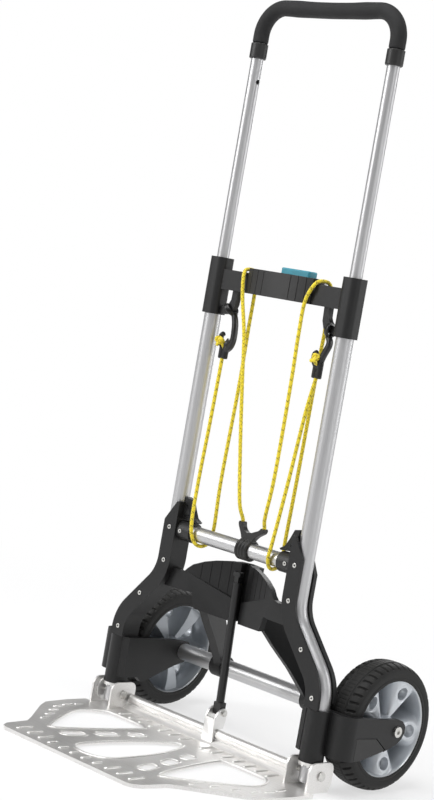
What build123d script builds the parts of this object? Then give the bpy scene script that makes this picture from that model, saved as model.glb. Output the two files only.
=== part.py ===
from build123d import *
from math import sin, cos, tan, radians
import os

# Two-wheeled folding stair trolley, in millimetres.
# +Z is up with the floor at z = 0, +X is the right side, the toe plate reaches forward (-Y) and
# the wheels stand behind (+Y).  Parts are drawn about the main tubes' plane (y = 0), then moved
# BACK_SHIFT along Y so that the origin is the bottom centre of the bounding box.

SIDES = (-1, 1)         # left, right
BACK_SHIFT = 32.5
FIT = 0.05              # usual radial clearance between mating parts

# main tubes
TUBE_X = 128.5          # half spacing of the upright tubes
FOOT_X = 200.0          # half spacing after the outward bend
LOW_R = 12.5            # lower tube outer radius
LOW_BORE = 10.5
UP_R = 9.0              # sliding handle tube outer radius
UP_BORE = 7.5
LOW_TOP = 652.0
TUBE_END = 12.0
# double bend in each lower tube
BEND_TOP = 247.0
BEND_R = 60.0
BEND_ANGLE = radians(42.0)
STRAIGHT_DX = FOOT_X - TUBE_X - 2 * BEND_R * (1 - cos(BEND_ANGLE))
STRAIGHT_DZ = STRAIGHT_DX / tan(BEND_ANGLE)
BEND_LOW = BEND_TOP - 2 * BEND_R * sin(BEND_ANGLE) - STRAIGHT_DZ
# handle
HANDLE_TOP = 1050.0
HANDLE_R = 40.0
LEG_LOW = 600.0
HANDLE_TRAVEL = 280.0
LOCK_Z = 663.0
# crossbar
BAR_LOW, BAR_TOP = 643.0, 672.0
SLEEVE_LOW, SLEEVE_TOP = 606.0, 688.0
# wheels and axle
WHEEL_R = 90.0          # also the height of the axle
HUB_Y = 108.0
TYRE_X0, TYRE_X1 = 188.0, 240.0
TYRE_WIDTH = TYRE_X1 - TYRE_X0
RIM_R = 70.0
AXLE_R = 12.5
BOLT_R = 6.0
# toe plate hinge
HINGE_Z = 25.0
PIN_R = 4.0
# cross tube
CROSS_Z = 289.0
CROSS_R = 11.0


# ---------------------------------------------------------------- helpers
def outward(side, x, y=0, z=0):
    """plane at side * x facing away from the middle; on the left its own y points down"""
    return Plane((side * x, y, z), x_dir=(0, 1, 0), z_dir=(side, 0, 0))


def forward(x, y, z):
    """plane facing the front (-Y)"""
    return Plane((x, y, z), x_dir=(1, 0, 0), z_dir=(0, -1, 0))


def low_x(side, x, width):
    """lowest x of a slab that spans x to x + width on the right, or its mirror image"""
    return x if side > 0 else -(x + width)


def on_side(side, points):
    """points of the right side, mirrored for the left one"""
    return [(side * x, y) for x, y in points]


def mirrored(part):
    with BuildPart() as twin:
        mirror(part, about=Plane.YZ)
    return twin.part


def on_upper_bend(angle, shift=0.0):
    """(x, z) on the right tube's upper bend, shifted outward"""
    radius = BEND_R - shift
    return (TUBE_X + BEND_R - radius * cos(angle), BEND_TOP - radius * sin(angle))


def on_lower_bend(angle, shift=0.0):
    """(x, z) on the right tube's lower bend, shifted outward"""
    radius = BEND_R + shift
    return (FOOT_X - BEND_R + radius * cos(angle), BEND_LOW + radius * sin(angle))


def point_at(start, end, z):
    """point at height z on the line from start to end"""
    share = (z - start[1]) / (end[1] - start[1])
    return (start[0] + share * (end[0] - start[0]), z)


def leg_curve(shift, z_from, z_to, steps=10):
    """(x, z) points along the right tube's centreline, shifted outward, from z_from down to z_to"""
    angles = [BEND_ANGLE * k / steps for k in range(steps + 1)]
    points = [on_upper_bend(angle, shift) for angle in angles]
    points += [on_lower_bend(angle, shift) for angle in angles[::-1]]
    if z_from > BEND_TOP:
        points.insert(0, (TUBE_X + shift, z_from))
    if z_to < BEND_LOW:
        points.append((FOOT_X + shift, z_to))
    clipped = []
    for k, point in enumerate(points):
        if z_to - 1e-6 <= point[1] <= z_from + 1e-6:
            if not clipped and k > 0 and abs(point[1] - z_from) > 1e-6:
                clipped.append(point_at(points[k - 1], point, z_from))
            clipped.append(point)
        elif clipped and point[1] < z_to:
            clipped.append(point_at(points[k - 1], point, z_to))
            break
    return clipped


def leg_band(inner, outer, z_from, z_to):
    """outline of a strip along the right tube between two outward shifts"""
    return leg_curve(inner, z_from, z_to) + leg_curve(outer, z_from, z_to)[::-1]


def soften(points, times=2, share=0.25):
    """closed outline with its corners cut back repeatedly into a smooth curve"""
    for _ in range(times):
        cut = []
        for (x0, y0), (x1, y1) in zip(points, points[1:] + points[:1]):
            dx, dy = share * (x1 - x0), share * (y1 - y0)
            cut += [(x0 + dx, y0 + dy), (x1 - dx, y1 - dy)]
        points = cut
    return points


# ---------------------------------------------------------------- handle
GRIP_R = 11.5
GRIP_LOW = 998.5
COLLAR_LOW = 976.0
COLLAR_R = 12.4
LOCK_HOLE_R = 3.4


def handle_hoop(low, outer, bore):
    """tube bent into an upside-down U, its ends at z = low"""
    with BuildPart() as hoop:
        with BuildLine() as path:
            Polyline((-TUBE_X, 0, low), (-TUBE_X, 0, HANDLE_TOP),
                     (TUBE_X, 0, HANDLE_TOP), (TUBE_X, 0, low))
            fillet(path.vertices().group_by(Axis.Z)[-1], HANDLE_R)
        with BuildSketch(Plane((-TUBE_X, 0, low), x_dir=(1, 0, 0), z_dir=(0, 0, 1))):
            Circle(outer)
            Circle(bore, mode=Mode.SUBTRACT)
        sweep(path=path.wires()[0])
    return hoop.part


def handle_tube():
    with BuildPart() as tube:
        add(handle_hoop(LEG_LOW, UP_R, UP_BORE))
        # lock holes on the inner side of each leg
        for z in (LOCK_Z, LOCK_Z + HANDLE_TRAVEL):
            for side in SIDES:
                with BuildSketch(outward(side, TUBE_X - 12, z=z)):
                    Circle(LOCK_HOLE_R)
                extrude(amount=10, mode=Mode.SUBTRACT)
    return tube.part


def handle_grip():
    return handle_hoop(GRIP_LOW, GRIP_R, UP_R + 0.15)


def grip_collars():
    with BuildPart() as collars:
        for side in SIDES:
            with BuildSketch(Plane.XY.offset(COLLAR_LOW)):
                with Locations((side * TUBE_X, 0)):
                    Circle(COLLAR_R)
                    Circle(UP_R + FIT, mode=Mode.SUBTRACT)
            extrude(amount=22)
        bottom = collars.edges().filter_by(GeomType.CIRCLE).group_by(Axis.Z)[0]
        chamfer(bottom.sort_by(SortBy.RADIUS)[-2:], 1.2)
    return collars.part


def handle_glides():
    """plugs in the leg ends, running in the lower tubes"""
    # z of the bottom, radius, length
    steps = ((LEG_LOW - 12, LOW_BORE - FIT, 11.9), (LEG_LOW - 0.2, UP_BORE - FIT, 16))
    with BuildPart() as glides:
        for side in SIDES:
            for z, radius, length in steps:
                with BuildSketch(Plane.XY.offset(z)):
                    with Locations((side * TUBE_X, 0)):
                        Circle(radius)
                extrude(amount=length)
    return glides.part


def guide_bushes():
    """bush in the top of each sleeve, in which the handle leg slides"""
    end_gap = 0.5
    with BuildPart() as bushes:
        for side in SIDES:
            with BuildSketch(Plane.XY.offset(LOW_TOP + end_gap)):
                with Locations((side * TUBE_X, 0)):
                    Circle(LOW_R - FIT)
                    Circle(UP_R + FIT, mode=Mode.SUBTRACT)
            extrude(amount=SLEEVE_TOP - LOW_TOP - 2 * end_gap)
        # lock pin holes
        for side in SIDES:
            with BuildSketch(outward(side, TUBE_X - 14, z=LOCK_Z)):
                Circle(3.15)
            extrude(amount=6, mode=Mode.SUBTRACT)
    return bushes.part


# ---------------------------------------------------------------- lower tubes
def lower_tube():
    def in_space(point):
        return (point[0], 0, point[1])

    half = BEND_ANGLE / 2
    with BuildPart() as tube:
        with BuildLine() as path:
            Line((TUBE_X, 0, LOW_TOP), (TUBE_X, 0, BEND_TOP))
            upper = ThreePointArc((TUBE_X, 0, BEND_TOP), in_space(on_upper_bend(half)),
                                  in_space(on_upper_bend(BEND_ANGLE)))
            slope = Line(upper @ 1, in_space(on_lower_bend(BEND_ANGLE)))
            ThreePointArc(slope @ 1, in_space(on_lower_bend(half)), (FOOT_X, 0, BEND_LOW))
            Line((FOOT_X, 0, BEND_LOW), (FOOT_X, 0, TUBE_END))
        with BuildSketch(Plane((TUBE_X, 0, LOW_TOP), x_dir=(1, 0, 0), z_dir=(0, 0, -1))):
            Circle(LOW_R)
            Circle(LOW_BORE, mode=Mode.SUBTRACT)
        sweep(path=path.wires()[0])
        # hinge pin hole
        with BuildSketch(Plane.YZ.offset(FOOT_X - 15)):
            with Locations((0, HINGE_Z)):
                Circle(PIN_R + 0.03)
        extrude(amount=30, mode=Mode.SUBTRACT)
    return tube.part


# ---------------------------------------------------------------- crossbar
BEAM_Y = 3.0
BEAM_FRONT = -8.0
BLOCK_HALF = 62.0       # half width of the middle block and its front cover
BLOCK_HEIGHT = 36.0
BUTTON_Y = 26.5
BUTTON_LENGTH, BUTTON_DEPTH = 55.0, 18.0
WELL_FLOOR = BAR_LOW + 14
COVER_SCREW_X, COVER_SCREW_Z = 52.0, 651.0

# x, z of the right cord arm under the beam
CORD_ARM = [
    (84, 645), (94, 645), (94.5, 630), (97.5, 624.5), (103, 620.5), (118, 617), (118, 607),
    (98, 609), (89, 614), (85, 624), (84, 645),
]


def crossbar_housing():
    wall = 2.5
    with BuildPart() as housing:
        # sleeves
        for side in SIDES:
            with BuildSketch(Plane.XY.offset(SLEEVE_LOW)):
                with Locations((side * TUBE_X, 0)):
                    RectangleRounded(30, 30, 11)
            extrude(amount=SLEEVE_TOP - SLEEVE_LOW)
        # beam
        with BuildSketch(Plane.XY.offset(BAR_LOW)):
            with Locations((0, BEAM_Y)):
                Rectangle(238, 22)
        extrude(amount=BAR_TOP - BAR_LOW)
        # raised middle block carrying the release button
        with BuildSketch(Plane.XY.offset(BAR_LOW)):
            with BuildLine():
                Polyline((-BLOCK_HALF, BEAM_FRONT), (BLOCK_HALF, BEAM_FRONT), (BLOCK_HALF, 14),
                         (44, 40), (-44, 40), (-BLOCK_HALF, 14), (-BLOCK_HALF, BEAM_FRONT))
            make_face()
        extrude(amount=BLOCK_HEIGHT)
        # curved cord arms below the beam
        for side in SIDES:
            with BuildSketch(Plane.XZ.offset(-6)):
                with BuildLine():
                    Polyline(*on_side(side, CORD_ARM))
                make_face()
            extrude(amount=9)
        # beam cavity
        with BuildSketch(Plane.XY.offset(BAR_LOW + wall)):
            with Locations((0, BEAM_Y)):
                Rectangle(219, 17)
        extrude(amount=BAR_TOP - BAR_LOW - 2 * wall, mode=Mode.SUBTRACT)
        # well for the button
        with BuildSketch(Plane.XY.offset(WELL_FLOOR)):
            with Locations((0, BUTTON_Y)):
                Rectangle(BUTTON_LENGTH + 2, BUTTON_DEPTH + 2)
        extrude(amount=40, mode=Mode.SUBTRACT)
        for side in SIDES:
            # tube bore
            with BuildSketch(Plane.XY.offset(SLEEVE_LOW - 1)):
                with Locations((side * TUBE_X, 0)):
                    Circle(LOW_R + FIT)
            extrude(amount=100, mode=Mode.SUBTRACT)
            # wedge below the front of the sleeve foot
            with BuildSketch(Plane.YZ.offset(side * TUBE_X - 20)):
                with BuildLine():
                    Polyline((-20, 600), (-4, 600), (-20, 606), (-20, 600))
                make_face()
            extrude(amount=40, mode=Mode.SUBTRACT)
            # lock pin hole through the sleeve wall
            with BuildSketch(outward(side, 108, z=LOCK_Z)):
                Circle(3.2)
            extrude(amount=12, mode=Mode.SUBTRACT)
        # screw holes behind the front cover
        with BuildSketch(Plane.XZ.offset(12)):
            with Locations((-COVER_SCREW_X, COVER_SCREW_Z), (COVER_SCREW_X, COVER_SCREW_Z)):
                Circle(1.6)
        extrude(amount=-9, mode=Mode.SUBTRACT)
    return housing.part


def crossbar_front_cover():
    end_y, crown_y, back_y = -10.0, -18.5, -8.2
    with BuildPart() as cover:
        with BuildSketch(Plane.XY.offset(BAR_LOW)):
            with BuildLine():
                ThreePointArc((-BLOCK_HALF, end_y), (0, crown_y), (BLOCK_HALF, end_y))
                Polyline((BLOCK_HALF, end_y), (BLOCK_HALF, back_y), (-BLOCK_HALF, back_y),
                         (-BLOCK_HALF, end_y))
            make_face()
        extrude(amount=BLOCK_HEIGHT)
        # upright grooves in the curved front, none in the middle
        for k in (-4, -3, -2, 2, 3, 4):
            x = k * 13.0
            y = crown_y + (x / BLOCK_HALF) ** 2 * (end_y - crown_y)
            with BuildSketch(Plane.XY.offset(BAR_LOW - 1)):
                with Locations((x, y)):
                    Rectangle(0.9, 1.4)
            extrude(amount=40, mode=Mode.SUBTRACT)
    return cover.part


def cover_screws():
    with BuildPart() as screws:
        for side in SIDES:
            with BuildSketch(Plane.XZ.offset(-1)):
                with Locations((side * COVER_SCREW_X, COVER_SCREW_Z)):
                    Circle(1.5)
            extrude(amount=9)
    return screws.part


def release_button():
    with BuildPart() as button:
        with BuildSketch(Plane.XY.offset(668)):
            with Locations((0, BUTTON_Y)):
                RectangleRounded(BUTTON_LENGTH, BUTTON_DEPTH, 3)
        extrude(amount=20)
        fillet(button.edges().group_by(Axis.Z)[-1], 2.0)
    return button.part


def button_springs():
    """springs on the floor of the well, drawn as plain sleeves"""
    with BuildPart() as springs:
        for side in SIDES:
            with BuildSketch(Plane.XY.offset(WELL_FLOOR)):
                with Locations((side * 18, BUTTON_Y)):
                    Circle(4)
                    Circle(2.8, mode=Mode.SUBTRACT)
            extrude(amount=5.4)
    return springs.part


def lock_pin():
    """left lock pin with a collar at its inner end"""
    # x of the inner end, radius, length
    steps = ((96, 3.0, 23.1), (93, 4.6, 4))
    with BuildPart() as pin:
        for x, radius, length in steps:
            with BuildSketch(outward(-1, x, z=LOCK_Z)):
                Circle(radius)
            extrude(amount=length)
    return pin.part


def lock_springs():
    """springs round the lock pins, drawn as plain sleeves"""
    with BuildPart() as springs:
        for side in SIDES:
            with BuildSketch(outward(side, 102.5, z=LOCK_Z)):
                Circle(4.4)
                Circle(3.3, mode=Mode.SUBTRACT)
            extrude(amount=6.8)
    return springs.part


# ---------------------------------------------------------------- side covers and skids
COVER_TOP, COVER_LOW = 330, 112
COVER_BACK = 12.8       # distance of the front strip's back face ahead of the tube plane
COVER_T = 4.2
COVER_INNER = -15.6     # outward shift of the cover's inner edge

# x, z of the ear over the cross tube end, and of its window
EAR = [
    (113.5, 338), (104, 336), (98, 323), (91, 311), (82, 306), (84, 303.9), (100, 305.5),
    (113.5, 305.5),
]
EAR_WINDOW = [(110, 327), (106.5, 326), (101, 312), (110, 312)]
# x, z of the right rivets
RIVETS = ((TUBE_X - 3, 291.0), (TUBE_X - 3, 242.0), (163.0, 184.0), (196.5, 126.0))


def side_cover():
    with BuildPart() as cover:
        # front strip following the leg
        with BuildSketch(Plane.XZ.offset(COVER_BACK)):
            with BuildLine():
                Polyline(*leg_band(COVER_INNER, 9.5, COVER_TOP, COVER_LOW), close=True)
            make_face()
        extrude(amount=COVER_T)
        # inner wall beside the tube
        with BuildSketch(Plane.XZ.offset(-16)):
            with BuildLine():
                Polyline(*leg_band(COVER_INNER, -12.9, COVER_TOP, COVER_LOW), close=True)
            make_face()
        extrude(amount=32)
        # ear with its window
        with BuildSketch(Plane.XZ.offset(-5)):
            with BuildLine():
                Polyline(*EAR, close=True)
            make_face()
            with BuildLine():
                Polyline(*EAR_WINDOW, close=True)
            make_face(mode=Mode.SUBTRACT)
        extrude(amount=10)
        # top of the front strip sloped down towards the outside
        with BuildSketch(Plane.XZ.offset(12)):
            with BuildLine():
                Polyline((117.5, 331), (145, 331), (145, 296), (139, 299), close=True)
            make_face()
        extrude(amount=6, mode=Mode.SUBTRACT)
    return cover.part


def skid():
    """strip along the back of the tube"""
    with BuildPart() as strip:
        with BuildSketch(Plane.XZ.offset(-20)):
            with BuildLine():
                Polyline(*leg_band(-8, 9, 306, 121), close=True)
            make_face()
        extrude(amount=7.2)
        # top sloped down towards the outside
        with BuildSketch(Plane.XZ.offset(-22)):
            with BuildLine():
                Polyline((124, 307), (145, 307), (145, 268), (138, 280), close=True)
            make_face()
        extrude(amount=12, mode=Mode.SUBTRACT)
    return strip.part


def cover_rivets():
    with BuildPart() as rivets:
        for side in SIDES:
            for x, z in RIVETS:
                with BuildSketch(forward(side * x, -(COVER_BACK + COVER_T), z)):
                    Circle(3.4)
                    Circle(1.4, mode=Mode.SUBTRACT)
                extrude(amount=0.9)
    return rivets.part


# ---------------------------------------------------------------- cross tube
SOCKET_SCREW_X, SOCKET_SCREW_Y = 105, -13.2

# x, z of the clip's two prongs
CLIP_PRONGS = [
    (12, 299), (-2, 316), (-3, 329), (5, 331), (8, 319), (18, 312), (26, 312), (36, 319),
    (39, 331), (47, 329), (46, 316), (32, 299),
]


def cross_tube():
    half_length = 100
    with BuildPart() as tube:
        with BuildSketch(Plane.YZ.offset(-half_length)):
            with Locations((0, CROSS_Z)):
                Circle(CROSS_R)
                Circle(CROSS_R - 1.5, mode=Mode.SUBTRACT)
        extrude(amount=2 * half_length)
    return tube.part


def cross_tube_sockets():
    with BuildPart() as sockets:
        for side in SIDES:
            with BuildSketch(outward(side, 88, z=CROSS_Z)):
                Circle(14.6)
            extrude(amount=24.6)
            # blind bore for the tube end
            with BuildSketch(outward(side, 87, z=CROSS_Z)):
                Circle(CROSS_R + FIT)
            extrude(amount=13.1, mode=Mode.SUBTRACT)
            # screw recess in the front
            with BuildSketch(forward(side * SOCKET_SCREW_X, SOCKET_SCREW_Y, CROSS_Z)):
                Circle(3.4)
            extrude(amount=3, mode=Mode.SUBTRACT)
    return sockets.part


def socket_screws():
    with BuildPart() as screws:
        for side in SIDES:
            with BuildSketch(forward(side * SOCKET_SCREW_X, SOCKET_SCREW_Y, CROSS_Z)):
                Circle(3.0)
                RegularPolygon(1.4, 6, mode=Mode.SUBTRACT)
            extrude(amount=2.2)
    return screws.part


def cord_clip():
    """grooved sleeve on the cross tube with two upright prongs"""
    with BuildPart() as clip:
        with BuildSketch(Plane.YZ.offset(5)):
            with Locations((0, CROSS_Z)):
                Circle(14.5)
        extrude(amount=34)
        for k in range(5):
            with BuildSketch(Plane.YZ.offset(8.5 + 6 * k)):
                with Locations((0, CROSS_Z)):
                    Circle(16)
                    Circle(13.6, mode=Mode.SUBTRACT)
            extrude(amount=2.2)
        with BuildSketch(Plane.XZ.offset(-5)):
            with BuildLine():
                Polyline(*CLIP_PRONGS, close=True)
            make_face()
        extrude(amount=10)
        # bore for the cross tube
        with BuildSketch(Plane.YZ):
            with Locations((0, CROSS_Z)):
                Circle(CROSS_R + 0.1)
        extrude(amount=50, mode=Mode.SUBTRACT)
    return clip.part


# ---------------------------------------------------------------- arch between the legs
FOLD_X = 84.0           # where the flat wings turn into the V
APEX_X, APEX_Y = 12.0, 18.0

# x, y of the V-shaped band seen from above
ARCH_PLAN = [
    (-130, -6), (-FOLD_X, -6), (-APEX_X, APEX_Y), (APEX_X, APEX_Y), (FOLD_X, -6), (130, -6),
    (130, 4), (FOLD_X + 1, 4), (22, 26), (22, 38), (-22, 38), (-22, 26), (-FOLD_X - 1, 4),
    (-130, 4),
]
# x, z of the right half seen from the front: crown, and underside back to the middle
ARCH_CROWN = [
    (0, 265), (25, 263.5), (45, 259.5), (62, 254), (78, 246), (90, 234), (100, 232),
]
ARCH_UNDERSIDE = [(72, 206), (66, 184), (30, 181), (0, 179)]
# set-back facet: x, y of its ends in plan, and x, z along its lower edge
FACET_OUT, FACET_IN = (86, -6.3), (8, 23.0)
FACET_EDGE_OUT, FACET_EDGE_IN = (90, 235.5), (8, 211)
FACET_ANGLE = 20.6      # degrees in plan
# outline of a web: distance along it from the hub, z
ARCH_WEB = [
    (-100.2, 184.5), (-100.2, 203), (-90, 202), (-61, 193), (-32, 171), (-11, 142), (4, 108),
    (10.5, 92), (-8, 84), (-25, 106), (-48, 132), (-80, 163), (-92, 176),
]


def arch_panel():
    half = ARCH_CROWN + leg_curve(-15.8, 234, 205) + ARCH_UNDERSIDE
    outline = half + on_side(-1, half[-2:0:-1])
    with BuildPart() as panel:
        with BuildSketch(Plane.XY.offset(170)):
            with BuildLine():
                Polyline(*ARCH_PLAN, close=True)
            make_face()
        extrude(amount=110)
        # trimmed to the outline seen from the front
        with BuildSketch(Plane.XZ.offset(-60)):
            with BuildLine():
                Polyline(*outline, close=True)
            make_face()
        extrude(amount=80, mode=Mode.INTERSECT)
        # set-back facets either side of the track, under the crown
        for side in SIDES:
            plan = [(90, -8.5), FACET_OUT, FACET_IN, (8, -30), (90, -30)]
            with BuildSketch(Plane.XY.offset(200)):
                with BuildLine():
                    Polyline(*on_side(side, plan), close=True)
                make_face()
            facet = extrude(amount=80, mode=Mode.PRIVATE)
            above = [FACET_EDGE_OUT, FACET_EDGE_IN, (0, 211), (0, 290), (90, 290)]
            with BuildPart(mode=Mode.PRIVATE) as mask:
                with BuildSketch(Plane.XZ.offset(-60)):
                    with BuildLine():
                        Polyline(*on_side(side, above), close=True)
                    make_face()
                extrude(amount=100)
            add(facet & mask.part, mode=Mode.SUBTRACT)
            # upright grooves in the facet
            for k in range(4):
                x = 22 + 14.0 * k
                share = (FACET_OUT[0] - x) / (FACET_OUT[0] - FACET_IN[0])
                y = FACET_OUT[1] + share * (FACET_IN[1] - FACET_OUT[1])
                _, z = point_at_x(FACET_EDGE_IN, FACET_EDGE_OUT, x)
                with BuildSketch(Plane.XY.offset(z + 2)):
                    with Locations(Location((side * x, y), -side * FACET_ANGLE)):
                        Rectangle(1.1, 1.8)
                extrude(amount=60, mode=Mode.SUBTRACT)
        # hollow underside of the middle block
        for side in SIDES:
            with BuildSketch(Plane.XY.offset(170)):
                with Locations((side * 16, 32.5)):
                    Rectangle(7, 5)
            extrude(amount=34, mode=Mode.SUBTRACT)
        # full height track, open to the front, in which the strut head slides
        with BuildSketch(Plane.XY.offset(160)):
            with Locations((0, 12)):
                Rectangle(16, 44)
        extrude(amount=120, mode=Mode.SUBTRACT)
    return panel.part


def point_at_x(start, end, x):
    """point at x on the line from start to end"""
    share = (x - start[0]) / (end[0] - start[0])
    return (x, start[1] + share * (end[1] - start[1]))


def arch_legs():
    """webs splayed outward from the V to the axle clamps"""
    along, across = 0.9487, 0.3162      # direction of a web in plan: its y and x parts
    clamp_x, clamp_width = 82, 21
    with BuildPart() as legs:
        for side in SIDES:
            with BuildSketch(Plane((side * 92, HUB_Y, 0), x_dir=(side * across, along, 0),
                                   z_dir=(along, -side * across, 0))):
                with BuildLine():
                    Polyline(*ARCH_WEB, close=True)
                make_face()
            extrude(amount=6.5, both=True)
            with BuildSketch(outward(side, clamp_x, HUB_Y, WHEEL_R)):
                Circle(16.5)
            extrude(amount=clamp_width)
            with BuildSketch(outward(side, clamp_x - 5, HUB_Y, WHEEL_R)):
                Circle(AXLE_R + FIT)
            extrude(amount=clamp_width + 10, mode=Mode.SUBTRACT)
    return legs.part


def axle_tube():
    half_length = 175.9
    with BuildPart() as tube:
        with BuildSketch(Plane.YZ.offset(-half_length)):
            with Locations((HUB_Y, WHEEL_R)):
                Circle(AXLE_R)
                Circle(BOLT_R + FIT, mode=Mode.SUBTRACT)
        extrude(amount=2 * half_length)
    return tube.part


# ---------------------------------------------------------------- wheel arms
# y, z outlines seen from the side
OUTER_ARM = [
    (23, 112), (30, 112), (84, 107.5), (108, 107), (118, 104), (125, 97), (126, 88),
    (121, 78.5), (112, 71.5), (88, 63), (40, 52), (23, 52),
]
INNER_ARM = [
    (-8, 111.5), (30, 111.5), (84, 108), (108, 106), (118, 103), (124, 96), (124.5, 88),
    (121, 79), (112, 73), (94, 68), (60, 55), (34, 45), (28, 45), (20, 52), (-8, 52),
]
COVER_POCKET = [(26, 84.4), (68, 82.4), (90, 66), (86, 61), (40, 46), (26, 46)]
ARM_COVER = [(26.4, 83.8), (67.6, 81.8), (88.2, 66.0), (86.0, 62.9), (40, 52.4), (26.4, 52.4)]


def wheel_arm():
    """right fork: a sleeve on the tube and an arm either side of the wheel"""
    with BuildPart() as arm:
        # sleeve round the tube
        with BuildSketch(Plane.XY.offset(40)):
            with Locations((FOOT_X, 0)):
                Circle(17)
        extrude(amount=71.5)
        # front bridge round the tyre, set back behind the sleeve's front
        with BuildSketch(Plane.XY.offset(52)):
            with BuildLine():
                Line((207, 4.5), (232, 4.5))
                TangentArc((232, 4.5), (250.5, 23), tangent=(1, 0))
                Polyline((250.5, 23), (250.5, 30), (243.5, 30), (243.5, 17), (176, 17),
                         (176, -8), (186, -12), (207, 4.5))
            make_face()
        extrude(amount=60)
        # outer arm
        with BuildSketch(Plane.YZ.offset(243.5)):
            with BuildLine():
                Polyline(*OUTER_ARM, close=True)
            make_face()
        extrude(amount=7)
        # inner arm
        with BuildSketch(Plane.YZ.offset(176)):
            with BuildLine():
                Polyline(*INNER_ARM, close=True)
            make_face()
        extrude(amount=8)
        # tyre clearance
        with BuildSketch(Plane.YZ.offset(184.0)):
            with Locations((HUB_Y, WHEEL_R)):
                Circle(WHEEL_R + 2.4)
        extrude(amount=59.5, mode=Mode.SUBTRACT)
        # bore for the tube
        with BuildSketch(Plane.XY.offset(30)):
            with Locations((FOOT_X, 0)):
                Circle(LOW_R + FIT)
        extrude(amount=90, mode=Mode.SUBTRACT)
        # axle bolt hole
        with BuildSketch(Plane.YZ.offset(170)):
            with Locations((HUB_Y, WHEEL_R)):
                Circle(BOLT_R + FIT)
        extrude(amount=90, mode=Mode.SUBTRACT)
        # pocket for the lower cover plate
        with BuildSketch(Plane.YZ.offset(247.5)):
            with BuildLine():
                Polyline(*COVER_POCKET, close=True)
            make_face()
        extrude(amount=6, mode=Mode.SUBTRACT)
    return arm.part


def arm_cover():
    with BuildPart() as cover:
        with BuildSketch(Plane.YZ.offset(247.6)):
            with BuildLine():
                Polyline(*ARM_COVER, close=True)
            make_face()
        extrude(amount=2.9)
    return cover.part


def toothed_rings():
    """ring under each sleeve, with teeth pointing down"""
    with BuildPart() as rings:
        for side in SIDES:
            with BuildSketch(Plane.XY.offset(36)):
                with Locations((side * FOOT_X, 0)):
                    Circle(16.4)
                    Circle(LOW_R + FIT, mode=Mode.SUBTRACT)
            extrude(amount=3.9)
            with BuildSketch(Plane.XY.offset(34)):
                with Locations((side * FOOT_X, 0)):
                    with PolarLocations(14.6, 12):
                        Rectangle(3.2, 3.2)
            extrude(amount=2.2)
    return rings.part


# ---------------------------------------------------------------- wheels
BUSH_R = 9.0
PETALS = 5
# angle of one petal from +Y towards +Z, degrees
PETAL_RIGHT, PETAL_LEFT = 64.0, 96.0
# petal outline: radius, half width to either side
PETAL = ((10, 5), (60, 21), (66, 19), (66, -19), (60, -21), (10, -5))
PETAL_HOLE_AT, PETAL_HOLE_R = 52, 9


def wheel_rim(x_low, first_petal):
    """rim whose tyre starts at x_low, with one petal at the given angle"""
    angles = [radians(first_petal + 360 // PETALS * k) for k in range(PETALS)]
    with BuildPart() as rim:
        # rim band
        with BuildSketch(Plane.YZ.offset(x_low + 3)):
            with Locations((HUB_Y, WHEEL_R)):
                Circle(RIM_R)
                Circle(RIM_R - 3, mode=Mode.SUBTRACT)
        extrude(amount=TYRE_WIDTH - 6)
        # web disc
        with BuildSketch(Plane.YZ.offset(x_low + TYRE_WIDTH / 2 - 2.5)):
            with Locations((HUB_Y, WHEEL_R)):
                Circle(RIM_R - 2)
        extrude(amount=5)
        # hub
        with BuildSketch(Plane.YZ.offset(x_low - 1)):
            with Locations((HUB_Y, WHEEL_R)):
                Circle(15)
        extrude(amount=TYRE_WIDTH + 2)
        # petals, each with a round hole near the rim
        for angle in angles:
            points = [(HUB_Y + radius * cos(angle) - half * sin(angle),
                       WHEEL_R + radius * sin(angle) + half * cos(angle))
                      for radius, half in PETAL]
            with BuildSketch(Plane.YZ.offset(x_low + 6)):
                with BuildLine():
                    Polyline(*points, close=True)
                make_face()
            extrude(amount=TYRE_WIDTH - 12)
        for angle in angles:
            with BuildSketch(Plane.YZ.offset(x_low)):
                with Locations((HUB_Y + PETAL_HOLE_AT * cos(angle),
                                WHEEL_R + PETAL_HOLE_AT * sin(angle))):
                    Circle(PETAL_HOLE_R)
            extrude(amount=60, mode=Mode.SUBTRACT)
        # bore for the bush
        with BuildSketch(Plane.YZ.offset(x_low - 5)):
            with Locations((HUB_Y, WHEEL_R)):
                Circle(BUSH_R + FIT)
        extrude(amount=70, mode=Mode.SUBTRACT)
    return rim.part


def wheel_rim_right():
    return wheel_rim(TYRE_X0, PETAL_RIGHT)


def wheel_rim_left():
    return wheel_rim(-TYRE_X1, PETAL_LEFT)


def wheel_bushes():
    """bearing bush in the hub, turning on the axle bolt"""
    overhang = 1.5
    with BuildPart() as bush:
        with BuildSketch(Plane.YZ.offset(TYRE_X0 - overhang)):
            with Locations((HUB_Y, WHEEL_R)):
                Circle(BUSH_R)
                Circle(BOLT_R + FIT, mode=Mode.SUBTRACT)
        extrude(amount=TYRE_WIDTH + 2 * overhang)
    return bush.part


def tyre():
    half = TYRE_WIDTH / 2
    middle = (TYRE_X0 + TYRE_X1) / 2
    # inner flank of the section: x from the tyre's middle, radius
    flank = [(-half + 3, RIM_R + FIT), (-half, RIM_R + 3), (-half, 81), (-half + 4, 86),
             (-half + 12, 89), (0, WHEEL_R)]
    section = flank + on_side(-1, flank[-2::-1])
    with BuildPart() as ring:
        with BuildSketch(Plane.XY.offset(WHEEL_R)):
            with BuildLine():
                Polyline(*[(middle + x, HUB_Y + radius) for x, radius in section], close=True)
            make_face()
        revolve(axis=Axis((0, HUB_Y, WHEEL_R), (1, 0, 0)), revolution_arc=360)
    return ring.part


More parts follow.
